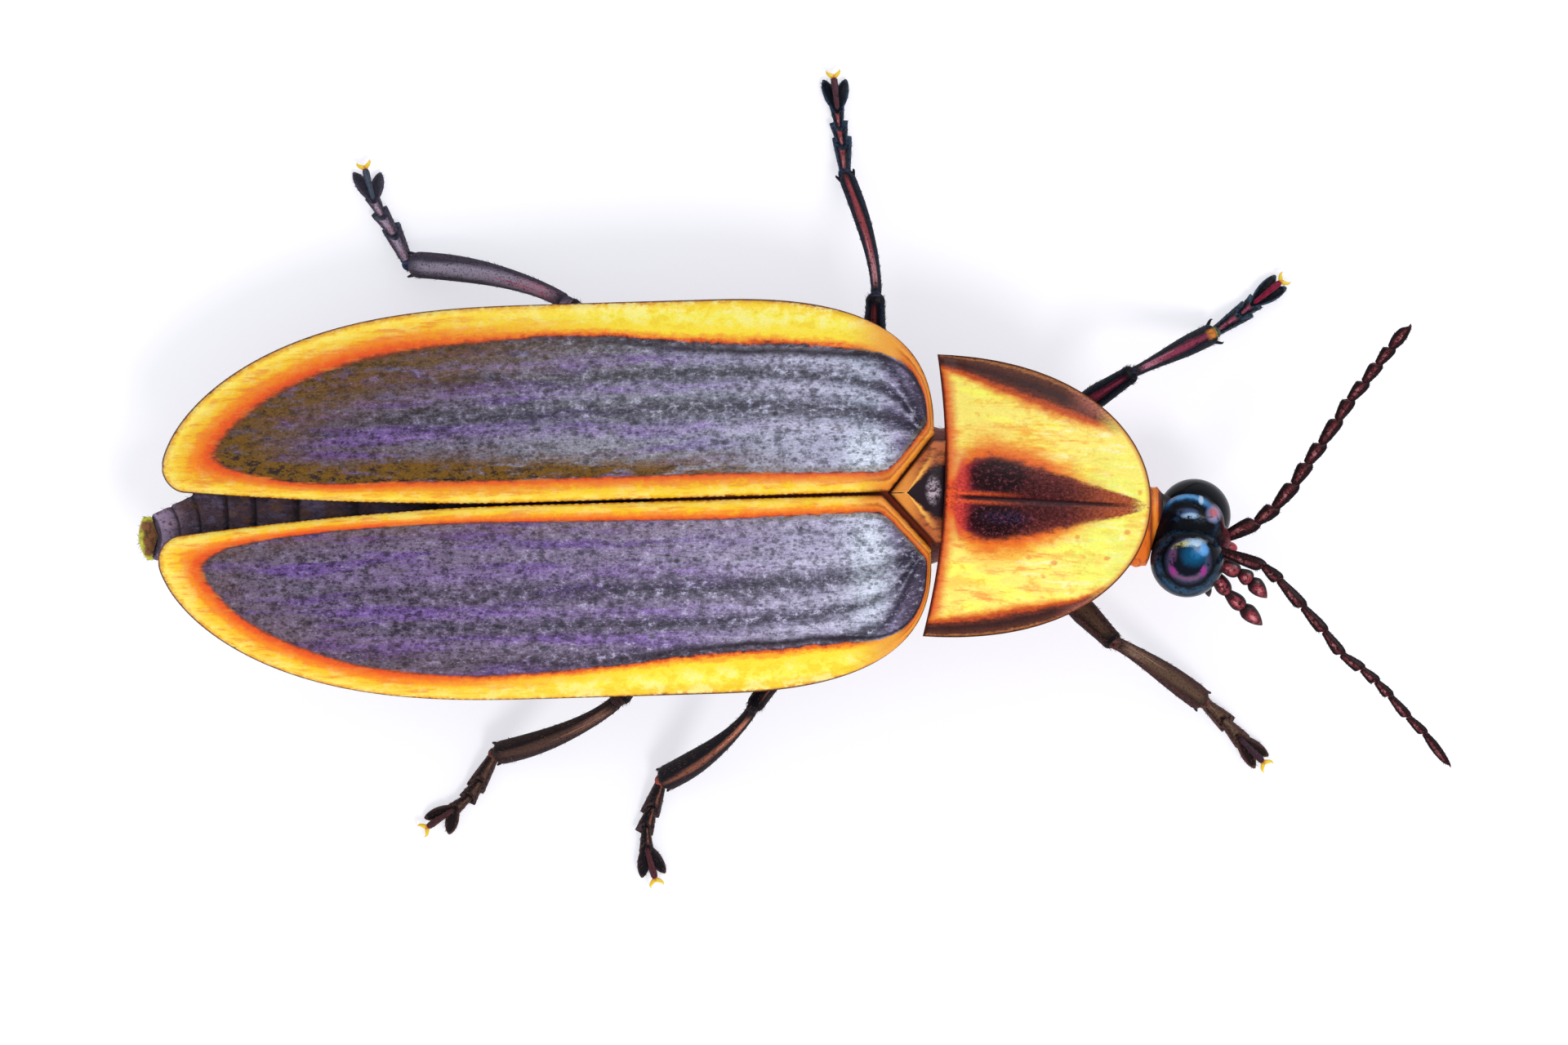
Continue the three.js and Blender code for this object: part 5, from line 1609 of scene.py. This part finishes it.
palp_material = palp_finish()
jaw_material = jaw_finish()
for side in ("left", "right"):
    for name, skins, finish, node in (
        ("jaw_palp", palp_skins(MAXILLARY_PALPS[side], 0.135), palp_material, "maxillary_palp"),
        ("lip_palp", palp_skins(LABIAL_PALPS[side], 0.07), jaw_material, "labial_palp"),
        ("jaw", jaw_skin(MANDIBLES[side]), jaw_material, "mandible"),
    ):
        piece(f"{name}_{side}", skins, finish, "mouthparts", f"{node}_{side}")
lip_skin = ellipsoid((4.43, -0.8, 1.72), (0.14, 0.1, 0.08), HEAD_AXES)
piece("upper_lip", lip_skin, lip_finish(), "mouthparts", "labrum")

# %% [markdown]
# ## Legs
# Each leg has a hip piece under the body, a thigh, a shin that widens towards the foot, and a foot of wedge
# segments with pointed corners, two leaf-like lobes and a slender claw segment with two pale claws. The
# pieces are slimmer than the solids and meet in the same joints, where a small knuckle covers the bend.

# %% Leg places
ANKLE_HEIGHT = 0.35
FOOT_HEIGHT = 0.15
LEGS = {
    "front_left": {
        "root": (1.35, 0.5, 1.35), "hip": (1.62, 0.98, 0.95), "knee": (2.96, 1.86, 1.9),
        "ankle": (4.28, 2.51), "foot": [(4.7, 2.8), (4.89, 2.96)], "lobes": [(5.24, 3.4), (5.41, 3.21)],
        "claw": (5.42, 3.38), "bow": (0, 0), "spur": 0.2, "thigh": 0.155, "shin": (0.08, 0.165),
    },
    "front_right": {
        "root": (1.3, -0.6, 1.35), "hip": (1.55, -1.08, 0.95), "knee": (2.68, -2.25, 1.75),
        "ankle": (4.12, -3.19), "foot": [(4.43, -3.47), (4.67, -3.74)],
        "lobes": [(4.92, -4.22), (5.13, -4.03)], "claw": (5.14, -4.22),
        "bow": (0, 0.05), "spur": 0.09, "thigh": 0.17, "shin": (0.1, 0.185),
    },
    "mid_left": {
        "root": (-1, 0.45, 1.2), "hip": (-1, 1.05, 0.8), "knee": (-0.96, 3.03, 2), "ankle": (-1.41, 4.96),
        "foot": [(-1.45, 5.41), (-1.5, 5.69), (-1.53, 5.95)], "lobes": [(-1.75, 6.42), (-1.4, 6.43)],
        "claw": (-1.6, 6.58), "bow": (0.1, 0), "spur": 0.12, "thigh": 0.16, "shin": (0.08, 0.13),
    },
    "mid_right": {
        "root": (-1.1, -0.5, 1.2), "hip": (-1.3, -1.1, 0.8), "knee": (-2.83, -3.25, 1.85),
        "ankle": (-4.24, -4.4), "foot": [(-4.39, -4.82), (-4.49, -5.13), (-4.48, -5.43)],
        "lobes": [(-4.55, -5.91), (-4.19, -5.84)], "claw": (-4.31, -6.05),
        "bow": (0.04, -0.12), "spur": 0.09, "thigh": 0.15, "shin": (0.09, 0.2),
    },
    "hind_left": {
        "root": (-3.6, 0.6, 1.2), "hip": (-3.95, 1.2, 0.8), "knee": (-5.67, 2.92, 1.65),
        "ankle": (-8.14, 3.56), "foot": [(-8.37, 4.03), (-8.56, 4.32), (-8.69, 4.56)],
        "lobes": [(-9.01, 4.99), (-8.59, 4.99)], "claw": (-8.86, 5.17),
        "bow": (0, 0.16), "spur": 0.09, "thigh": 0.18, "shin": (0.12, 0.205),
    },
    "hind_right": {
        "root": (-3.5, -0.7, 1.2), "hip": (-3.7, -1.3, 0.8), "knee": (-4.88, -3.12, 1.9),
        "ankle": (-6.81, -3.99), "foot": [(-7.06, -4.42), (-7.21, -4.65), (-7.44, -4.84)],
        "lobes": [(-7.91, -4.99), (-7.53, -5.24)], "claw": (-7.97, -5.2),
        "bow": (0, -0.14), "spur": 0.09, "thigh": 0.18, "shin": (0.11, 0.185),
    },
}


def at_height(place, height):
    return np.array([*place, height], float)


print("six legs of four pieces each")

# %% Shapes of hip, thigh and shin
HIP_WIDTHS = (0.38, 0.36, 0.22)
HIP_KNUCKLE = (0.22, 0.2, 0.2)
THIGH_PROFILE = ((0, 0.15, 0.6, 0.9, 0.95, 1), (0.7, 1.0, 1.2, 0.92, 0.92, 0.84))
SPUR_RADIUS = 0.034


def coxa_skins(leg):
    """The hip piece: a short stout limb, and a small knuckle, the trochanter, at its end."""
    root, hip = np.array(leg["root"]), np.array(leg["hip"])
    share = even_turn(40, 0)
    path = mix(root, hip, share[:, None])
    width = np.interp(share, (0, 0.5, 1), HIP_WIDTHS) * ends_closed(share, 0.05, 0.3)
    return [limb(path, width, width, 28), ellipsoid(hip, HIP_KNUCKLE)]


def femur_skins(leg):
    """The thigh: a spindle, thickest past its middle, cut off square with a low rim at the knee."""
    hip, knee = np.array(leg["hip"]), np.array(leg["knee"])
    share = even_turn(60, 0)
    path = mix(hip, knee + 0.04 * unit(knee - hip), share[:, None])
    width = leg["thigh"] * np.interp(share, *THIGH_PROFILE)
    width = width * ends_closed(share, 0.05, 0.05)
    return [limb(path, width, 1.1 * width, 32, 0.1)]


def tibia_path(leg, count):
    """From knee to ankle. The bow is a bump that peaks in the first half of the way."""
    knee, ankle = np.array(leg["knee"]), at_height(leg["ankle"], ANKLE_HEIGHT)
    share = even_turn(count, 0)[:, None]
    bow = np.array([*leg["bow"], 0])
    return mix(knee, ankle, share) + bow * 4 * share ** 0.8 * (1 - share ** 0.8)


def spur_skin(leg, root, outwards, along, down):
    """A pointed spine that leaves the end of the shin and spreads a little outwards."""
    tip = root + leg["spur"] * along + 0.35 * leg["spur"] * outwards + down
    bend = mix(root, tip, 0.6) + 0.15 * leg["spur"] * outwards
    path = smooth_path([root - 0.05 * along, bend, tip], 14)
    taper = SPUR_RADIUS * np.linspace(1, 0.15, 14)
    return limb(path, taper, taper, 10, 0.6)


def tibia_skins(leg):
    """The shin: thin at the knee, widening along most of its length, with two spurs and a round knuckle."""
    share = even_turn(60, 0)
    path = tibia_path(leg, 60)
    narrow, broad = leg["shin"]
    width = mix(narrow, broad, ease(share, 0.0, 0.8)) * ends_closed(share, 0.03, 0.07)
    along, across, over = (part[-1] for part in path_frames(path))
    spurs = [spur_skin(leg, path[-1] - 0.05 * along + side * 0.75 * broad * across, side * across, along,
                       -0.04 * over) for side in (1, -1)]
    knuckle = ellipsoid(path[0], (1.1 * narrow, narrow, narrow), rows=24, columns=24, tone=0.8)
    return [limb(path, width, 0.85 * width, 32), knuckle, *spurs]


print("hips, thighs and shins ready")

# %% Shapes of the feet
TARSUS_WIDTHS = (0.16, 0.15, 0.12)
TARSUS_DEPTH = 0.1
ANKLE_KNOB = (0.11, 0.1, 0.09)
LOBE_WIDTH = 0.105
LOBE_DEPTH = 0.055
LOBE_HEIGHT = 0.09
CLAW_ROOT_HEIGHT = 0.2
CLAW_TIP_HEIGHT = 0.04
CLAW_RADII = (0.042, 0.044)


def foot_wedge(start, end, width, high, tone):
    """A heart-shaped foot segment: it widens to its end, where both corners run on past the middle."""
    share = np.linspace(0, 1, 24)
    path = mix(start, end, share[:, None])
    wide = width * mix(0.5, 1.0, share ** 1.2) * ends_closed(share, 0.08, 0.06)
    tall = high * np.interp(share, (0, 0.6, 0.92, 1), (0.7, 1.0, 0.6, 0.15))
    corner = 0.5 * np.linalg.norm(end - start)
    return limb(path, wide, tall, 28, tone, lengthen=lambda t, c: corner * t ** 3 * (np.abs(c) ** 2 - 0.45))


def lobe_skin(last, end):
    """A leaf that leaves the last wedge, arches a little and narrows to its end."""
    tip = at_height(end, LOBE_HEIGHT)
    share = np.linspace(0, 1, 28)
    path = mix(last - 0.08 * unit(tip - last), tip, share[:, None])
    path[:, 2] = path[:, 2] + 0.03 * np.sin(np.pi * share)
    leaf = np.sin(np.pi * clip(share, 0.02, 0.99) ** 1.1) ** 0.55
    return limb(path, LOBE_WIDTH * leaf, LOBE_DEPTH * leaf, 22, 0.6)


def tarsus_skins(leg):
    """The foot: wedges from the ankle on, a knob on the ankle, and two leaf-shaped lobes side by side."""
    places = [at_height(leg["ankle"], ANKLE_HEIGHT - 0.04)]
    places = places + [at_height(place, FOOT_HEIGHT) for place in leg["foot"]]
    skins = []
    for start, end, width in zip(places, places[1:], TARSUS_WIDTHS):
        along = end - start
        skins.append(foot_wedge(start - 0.05 * along, end + 0.06 * along, width, TARSUS_DEPTH, 0.4))
    skins.append(ellipsoid(places[0], ANKLE_KNOB, rows=20, columns=20, tone=0.9))
    return skins + [lobe_skin(places[-1], end) for end in leg["lobes"]]


def claw_segment(leg):
    """The slender last segment, which rises between the lobes."""
    last = at_height(leg["foot"][-1], FOOT_HEIGHT + 0.05)
    tip = at_height(leg["claw"], CLAW_ROOT_HEIGHT)
    path = smooth_path([last, mix(last, tip, 0.45) + (0, 0, 0.06), mix(last, tip, 0.8)], 24)
    share = np.linspace(0, 1, 24)
    width = np.interp(share, (0, 0.7, 1), (0.035, 0.055, 0.05)) * ends_closed(share, 0.1, 0.12)
    return limb(path, width, width, 16, 1.0)


def claw_skins(leg):
    """Two hooks that spread from the end of the last segment and bend down to the floor."""
    last = at_height(leg["foot"][-1], FOOT_HEIGHT)
    tip = at_height(leg["claw"], CLAW_TIP_HEIGHT)
    forward = unit((tip - last) * (1, 1, 0))
    aside = np.cross((0, 0, 1), forward)
    root = mix(last, tip, 0.8) * (1, 1, 0) + (0, 0, CLAW_ROOT_HEIGHT)
    taper = np.linspace(1, 0.1, 20)
    skins = []
    for side in (1, -1):
        bend = root + 0.07 * forward + side * 0.09 * aside
        path = smooth_path([root, bend, tip + side * 0.1 * aside], 20)
        skins.append(limb(path, CLAW_RADII[0] * taper, CLAW_RADII[1] * taper, 12))
    return skins


print("feet and claws ready")

# %% [markdown]
# Each leg is dark, with a painted highlight streak along its top. The left legs are blue-black with a mauve
# or red painted highlight streak and a painted pale blue-grey highlight on the edges of the foot, the hind
# one greyer, and the right legs brown to black with a salmon or brown painted highlight streak. The claws
# are clear yellow to orange horn.

# %% Finish of the legs and all six legs
# Per leg: ground, rim, edge (a painted highlight on the foot's edges), the painted highlight streak, its
# brightest painted highlight, claw segment and ankle.
LEG_COATS = ("ground", "rim", "edge", "highlight_streak", "highlight", "claw", "ankle")
LEG_COLOURS = {
    "front_left": [(8, 11, 18), (22, 38, 58), (108, 136, 160), (142, 54, 80), (212, 148, 168),
                   (150, 34, 66), (96, 120, 110)],
    "mid_left": [(10, 15, 24), (34, 52, 78), (92, 118, 146), (160, 74, 80), (222, 172, 178),
                 (96, 60, 70), (44, 62, 90)],
    "hind_left": [(46, 46, 58), (96, 74, 92), (100, 112, 132), (176, 164, 184), (206, 114, 132),
                  (70, 84, 100), (36, 62, 100)],
    "front_right": [(36, 25, 25), (104, 58, 54), (128, 104, 98), (98, 74, 60), (150, 118, 100),
                    (66, 44, 60), (120, 72, 70)],
    "mid_right": [(27, 25, 31), (56, 44, 48), (118, 92, 94), (142, 88, 70), (214, 138, 110),
                  (96, 50, 58), (208, 98, 84)],
    "hind_right": [(32, 25, 27), (78, 52, 50), (120, 98, 94), (88, 64, 56), (150, 108, 92),
                   (84, 52, 56), (124, 70, 64)],
}
# Where the painted highlight streak lies across each leg, and how wide it reaches.
LEG_HIGHLIGHT_PLACES = {"front_left": (0.0, 0.68), "mid_left": (0.1, 0.68), "hind_left": (0.15, 0.95),
           "front_right": (0.1, 0.95), "mid_right": (0.3, 0.5), "hind_right": (0.2, 0.75)}


def leg_ends(leg, name, colours, grain):
    """The coats of the small parts: a painted pale highlight on the foot edges, claw segment, knuckles,
    ankle and the dark end of the thigh. The front left shin also ends in an orange patch and two green
    bands."""
    up, side, along, tone = leg.marks("up", "side", "along", "tone")
    edges = abs(side).step(0.6, 0.95).most(along.step(0.86, 0.97)) * tone.hill(0.5, 0.3) * up.step(-0.3, 0.1)
    # Painted highlight: pale edges on the foot wedges, lobes and spurs.
    leg.lay(colours["edge"], edges * grain.step(0.38, 0.58) * 0.75)
    leg.lay(colours["claw"], tone.step(0.95, 0.99) * up.step(0.1, 0.6) * grain.step(0.3, 0.5) * 0.85)
    leg.lay(colours["rim"], tone.hill(0.8, 0.1) * grain.step(0.4, 0.6) * 0.8)
    leg.lay(colours["ankle"], tone.hill(0.9, 0.05) * grain.step(0.35, 0.55) * 0.9)
    leg.lay((12, 11, 17), tone.hill(0.1, 0.04) * along.step(0.93, 0.98) * 0.9)
    leg.lay((16, 13, 17), grain.step(0.51, 0.64) * 0.6)
    if name == "front_left":
        shin = tone.step(0.08, 0.02) * up.step(0, 0.3)
        leg.lay((208, 128, 52), along.hill(0.9, 0.08) * shin * abs(side).step(0.6, 0.3))
        bands = along.hill(0.955, 0.012).most(along.hill(0.985, 0.012))
        leg.lay((160, 168, 76), bands * shin * abs(side).step(0.7, 0.4))


def leg_finish(name, colours, place, reach):
    """Marks steer the coats: side and up place the painted highlight streak, and the tone tells hips and
    shins (0), thighs (0.1), foot wedges (0.4), lobes and spurs (0.6), knuckles (0.8), the ankle (0.9) and
    the claw segment (1) apart."""
    leg = Finish("leg_" + name, colours["ground"], rough=0.5, shine=0.05)
    up, side, along, tone = leg.marks("up", "side", "along", "tone")
    lengthwise = leg.node("CombineXYZ", {}, {0: along * 2.2, 1: side * 4, 2: up * 1.5 + tone * 5})
    threads = leg.noise(1, 5, 0.7, lengthwise)
    grain = leg.noise(20, 4, 0.8)
    long_piece, leaf = tone.step(0.2, 0.1), tone.hill(0.6, 0.1)
    # Painted highlight: a streak along the upper face of each piece, with brighter painted highlight spots
    # towards the knee end.
    spread = abs(side - place) + (threads - 0.5) * 0.8 + tone * 0.6 + long_piece * along * 0.25
    middle = spread.step(reach, reach * 0.3) * up.step(0, 0.3)
    middle = middle * (1 - leaf) * along.step(0.02, 0.16) * along.step(1, 0.86)
    painted_gloss = middle * (grain * 0.6 + threads + long_piece * (0.4 - along) * 0.4).step(0.76, 0.94)
    flanks = abs(side).hill(0.7, 0.35) * up.step(-0.2, 0.3)
    leg.lay(colours["rim"], flanks * grain.step(0.4, 0.6) * 0.8)
    leg.lay(colours["highlight_streak"], middle * grain.step(0.3, 0.5))
    leg.lay(colours["highlight"], painted_gloss * 0.85)
    leg_ends(leg, name, colours, grain)
    return leg.done(None, grain + 0.5 * threads, 0.4, 0.015)


def claw_finish():
    claw = Finish("claw", (240, 206, 50), rough=0.35, shine=0.3)
    claw.lay((216, 100, 44), claw.mark("along").step(0.2, 0))
    return claw.done(None, claw.noise(30), 0.2, 0.005)


claw_material = claw_finish()
leg_skins = {}
for name, leg in LEGS.items():
    finish = leg_finish(name, dict(zip(LEG_COATS, LEG_COLOURS[name])), *LEG_HIGHLIGHT_PLACES[name])
    shapes = {"coxa": coxa_skins(leg), "femur": femur_skins(leg), "tibia": tibia_skins(leg),
              "tarsus": [*tarsus_skins(leg), claw_segment(leg)]}
    for part, skins in shapes.items():
        piece(f"{part}_{name}_shell", skins, finish, "leg", f"{part}_{name}")
    piece(f"claws_{name}", claw_skins(leg), claw_material, "leg")
    leg_skins[name] = shapes

# %% [markdown]
# ## Bristles
# A firefly is covered in very short fine hairs. Most are part of the bump. On legs, feelers, trunk and
# tail, where they break the outline, each one is a thin three-sided cone that leans towards the tip of its
# limb. Each bristle also gets its own small patch on a second map, at its root's place on an unrolled skin.

# %% Bristles
PATCH = 0.003
BRISTLE_RADIUS = 0.0035
CONE_QUADS = np.array([[0, 1, 4, 3], [1, 2, 5, 4], [2, 0, 3, 5]])
CONE_TRIANGLES = np.array([[0, 2, 1], [3, 4, 6], [4, 5, 6], [5, 3, 6]])


def skin_area(one):
    rings = one["rings"]
    lengthwise, round_it = np.diff(rings, axis=0)[:, :-1], np.diff(rings, axis=1)[:-1]
    return np.linalg.norm(np.cross(lengthwise, round_it), axis=-1).sum()


def roots(one, rows_at, columns_at):
    """Points between the rings' points, the outward direction from the ring's middle, and the way along."""
    rings = one["rings"]
    middle = rings.mean(1)
    r, c = rows_at.astype(int), columns_at.astype(int)
    across = c + 1 - rings.shape[1] * (c + 1 == rings.shape[1])
    u, v = (rows_at - r)[:, None], (columns_at - c)[:, None]
    point = mix(mix(rings[r, c], rings[r, across], v), mix(rings[r + 1, c], rings[r + 1, across], v), u)
    return point, unit(point - mix(middle[r], middle[r + 1], u)), unit(middle[r + 1] - middle[r])


def cones(point, out, along, way, long):
    """Seven points for each bristle: a triangle sunk a little under the skin, a smaller one halfway, moved
    outwards so that the bristle bends, and the tip."""
    first = unit(np.cross(way, out + 0.3 * along + 1e-6))
    second = np.cross(way, first)
    turn = 2 * np.pi * np.arange(3)[None, :, None] / 3
    ring = np.cos(turn) * first[:, None] + np.sin(turn) * second[:, None]
    base = (point - 0.15 * long * way)[:, None] + BRISTLE_RADIUS * ring
    half = (point + long * (0.5 * way + 0.05 * out))[:, None] + 0.7 * BRISTLE_RADIUS * ring
    return np.concatenate([base, half, (point + long * way)[:, None]], 1).reshape(-1, 3)


def patches_at(places):
    """The same seven points on the map: a triangle a patch across round the root's place, and its
    middle."""
    spread = np.array([1, 1, 1, 0.55, 0.55, 0.55, 0])[:, None] * PATCH / 2
    corner = np.array([0, 1, 2, 0, 1, 2, 0])[:, None] * 2 * np.pi / 3
    return (places[:, None] + spread * np.concatenate([np.cos(corner), np.sin(corner)], 1)).reshape(-1, 2)


def bristles(skins, count, length, stand, seed, lean=1):
    """Three-sided cones. The root is drawn at random, with more of them on larger skins. Each one points
    along the skin and outwards by the share stand, with a random part."""
    random = np.random.default_rng(seed)
    areas = np.array([skin_area(one) for one in skins])
    chosen = random.choice(len(skins), count, p=areas / areas.sum())
    share = random.uniform((0.04, 0), (0.96, 1), (count, 2))
    point, out, along = np.zeros((3, count, 3))
    for k, one in enumerate(skins):
        mine = chosen == k
        rows, columns, _ = one["rings"].shape
        found = roots(one, share[mine, 0] * (rows - 1), share[mine, 1] * columns)
        point[mine], out[mine], along[mine] = found
    long = length * random.uniform(0.6, 1.2, (count, 1))
    way = unit(mix(lean * along, out, stand) + random.normal(0, 0.18, (count, 3)))
    start = 7 * np.arange(count)[:, None, None]
    places = stacked((chosen + share[:, 1]) / len(skins), share[:, 0])
    return {"points": cones(point, out, along, way, long), "patches": patches_at(places),
            "quads": (CONE_QUADS + start).reshape(-1, 4),
            "triangles": (CONE_TRIANGLES + start).reshape(-1, 3),
            "marks": {"along": np.tile([0, 0, 0, 0.5, 0.5, 0.5, 1], count)[:, None]}}


def bristle_finish(name, root, tip):
    hair = Finish(name, root, rough=0.5, shine=0.2)
    hair.lay(tip, hair.mark("along").step(0.1, 1))
    return hair.done()


dark_bristle = bristle_finish("bristle_dark", (30, 20, 22), (96, 70, 62))
brown_bristle = bristle_finish("bristle_brown", (70, 46, 36), (164, 128, 96))
for index, (name, shapes) in enumerate(leg_skins.items()):
    finish = dark_bristle if name.endswith("left") else brown_bristle
    on_leg = bristles(shapes["femur"] + shapes["tibia"][:1], 600, 0.06, 0.28, index)
    on_foot = bristles(shapes["tarsus"], 400, 0.045, 0.3, 10 + index)
    piece(f"bristles_leg_{name}", on_leg, finish, "leg")
    piece(f"bristles_foot_{name}", on_foot, finish, "leg")
for index, (name, skins) in enumerate(feeler_skins.items()):
    piece(f"bristles_feeler_{name}", bristles(skins, 700, 0.035, 0.4, 20 + index), dark_bristle, "antenna")
piece("bristles_abdomen", bristles([abdomen], 1200, 0.07, 0.3, 30), brown_bristle, "abdomen")
piece("bristles_thorax", bristles([thorax], 900, 0.08, 0.3, 31, lean=-1), brown_bristle, "thorax")
piece("bristles_tail", bristles([tail], 120, 0.06, 0.4, 32), brown_bristle, "pygidium")
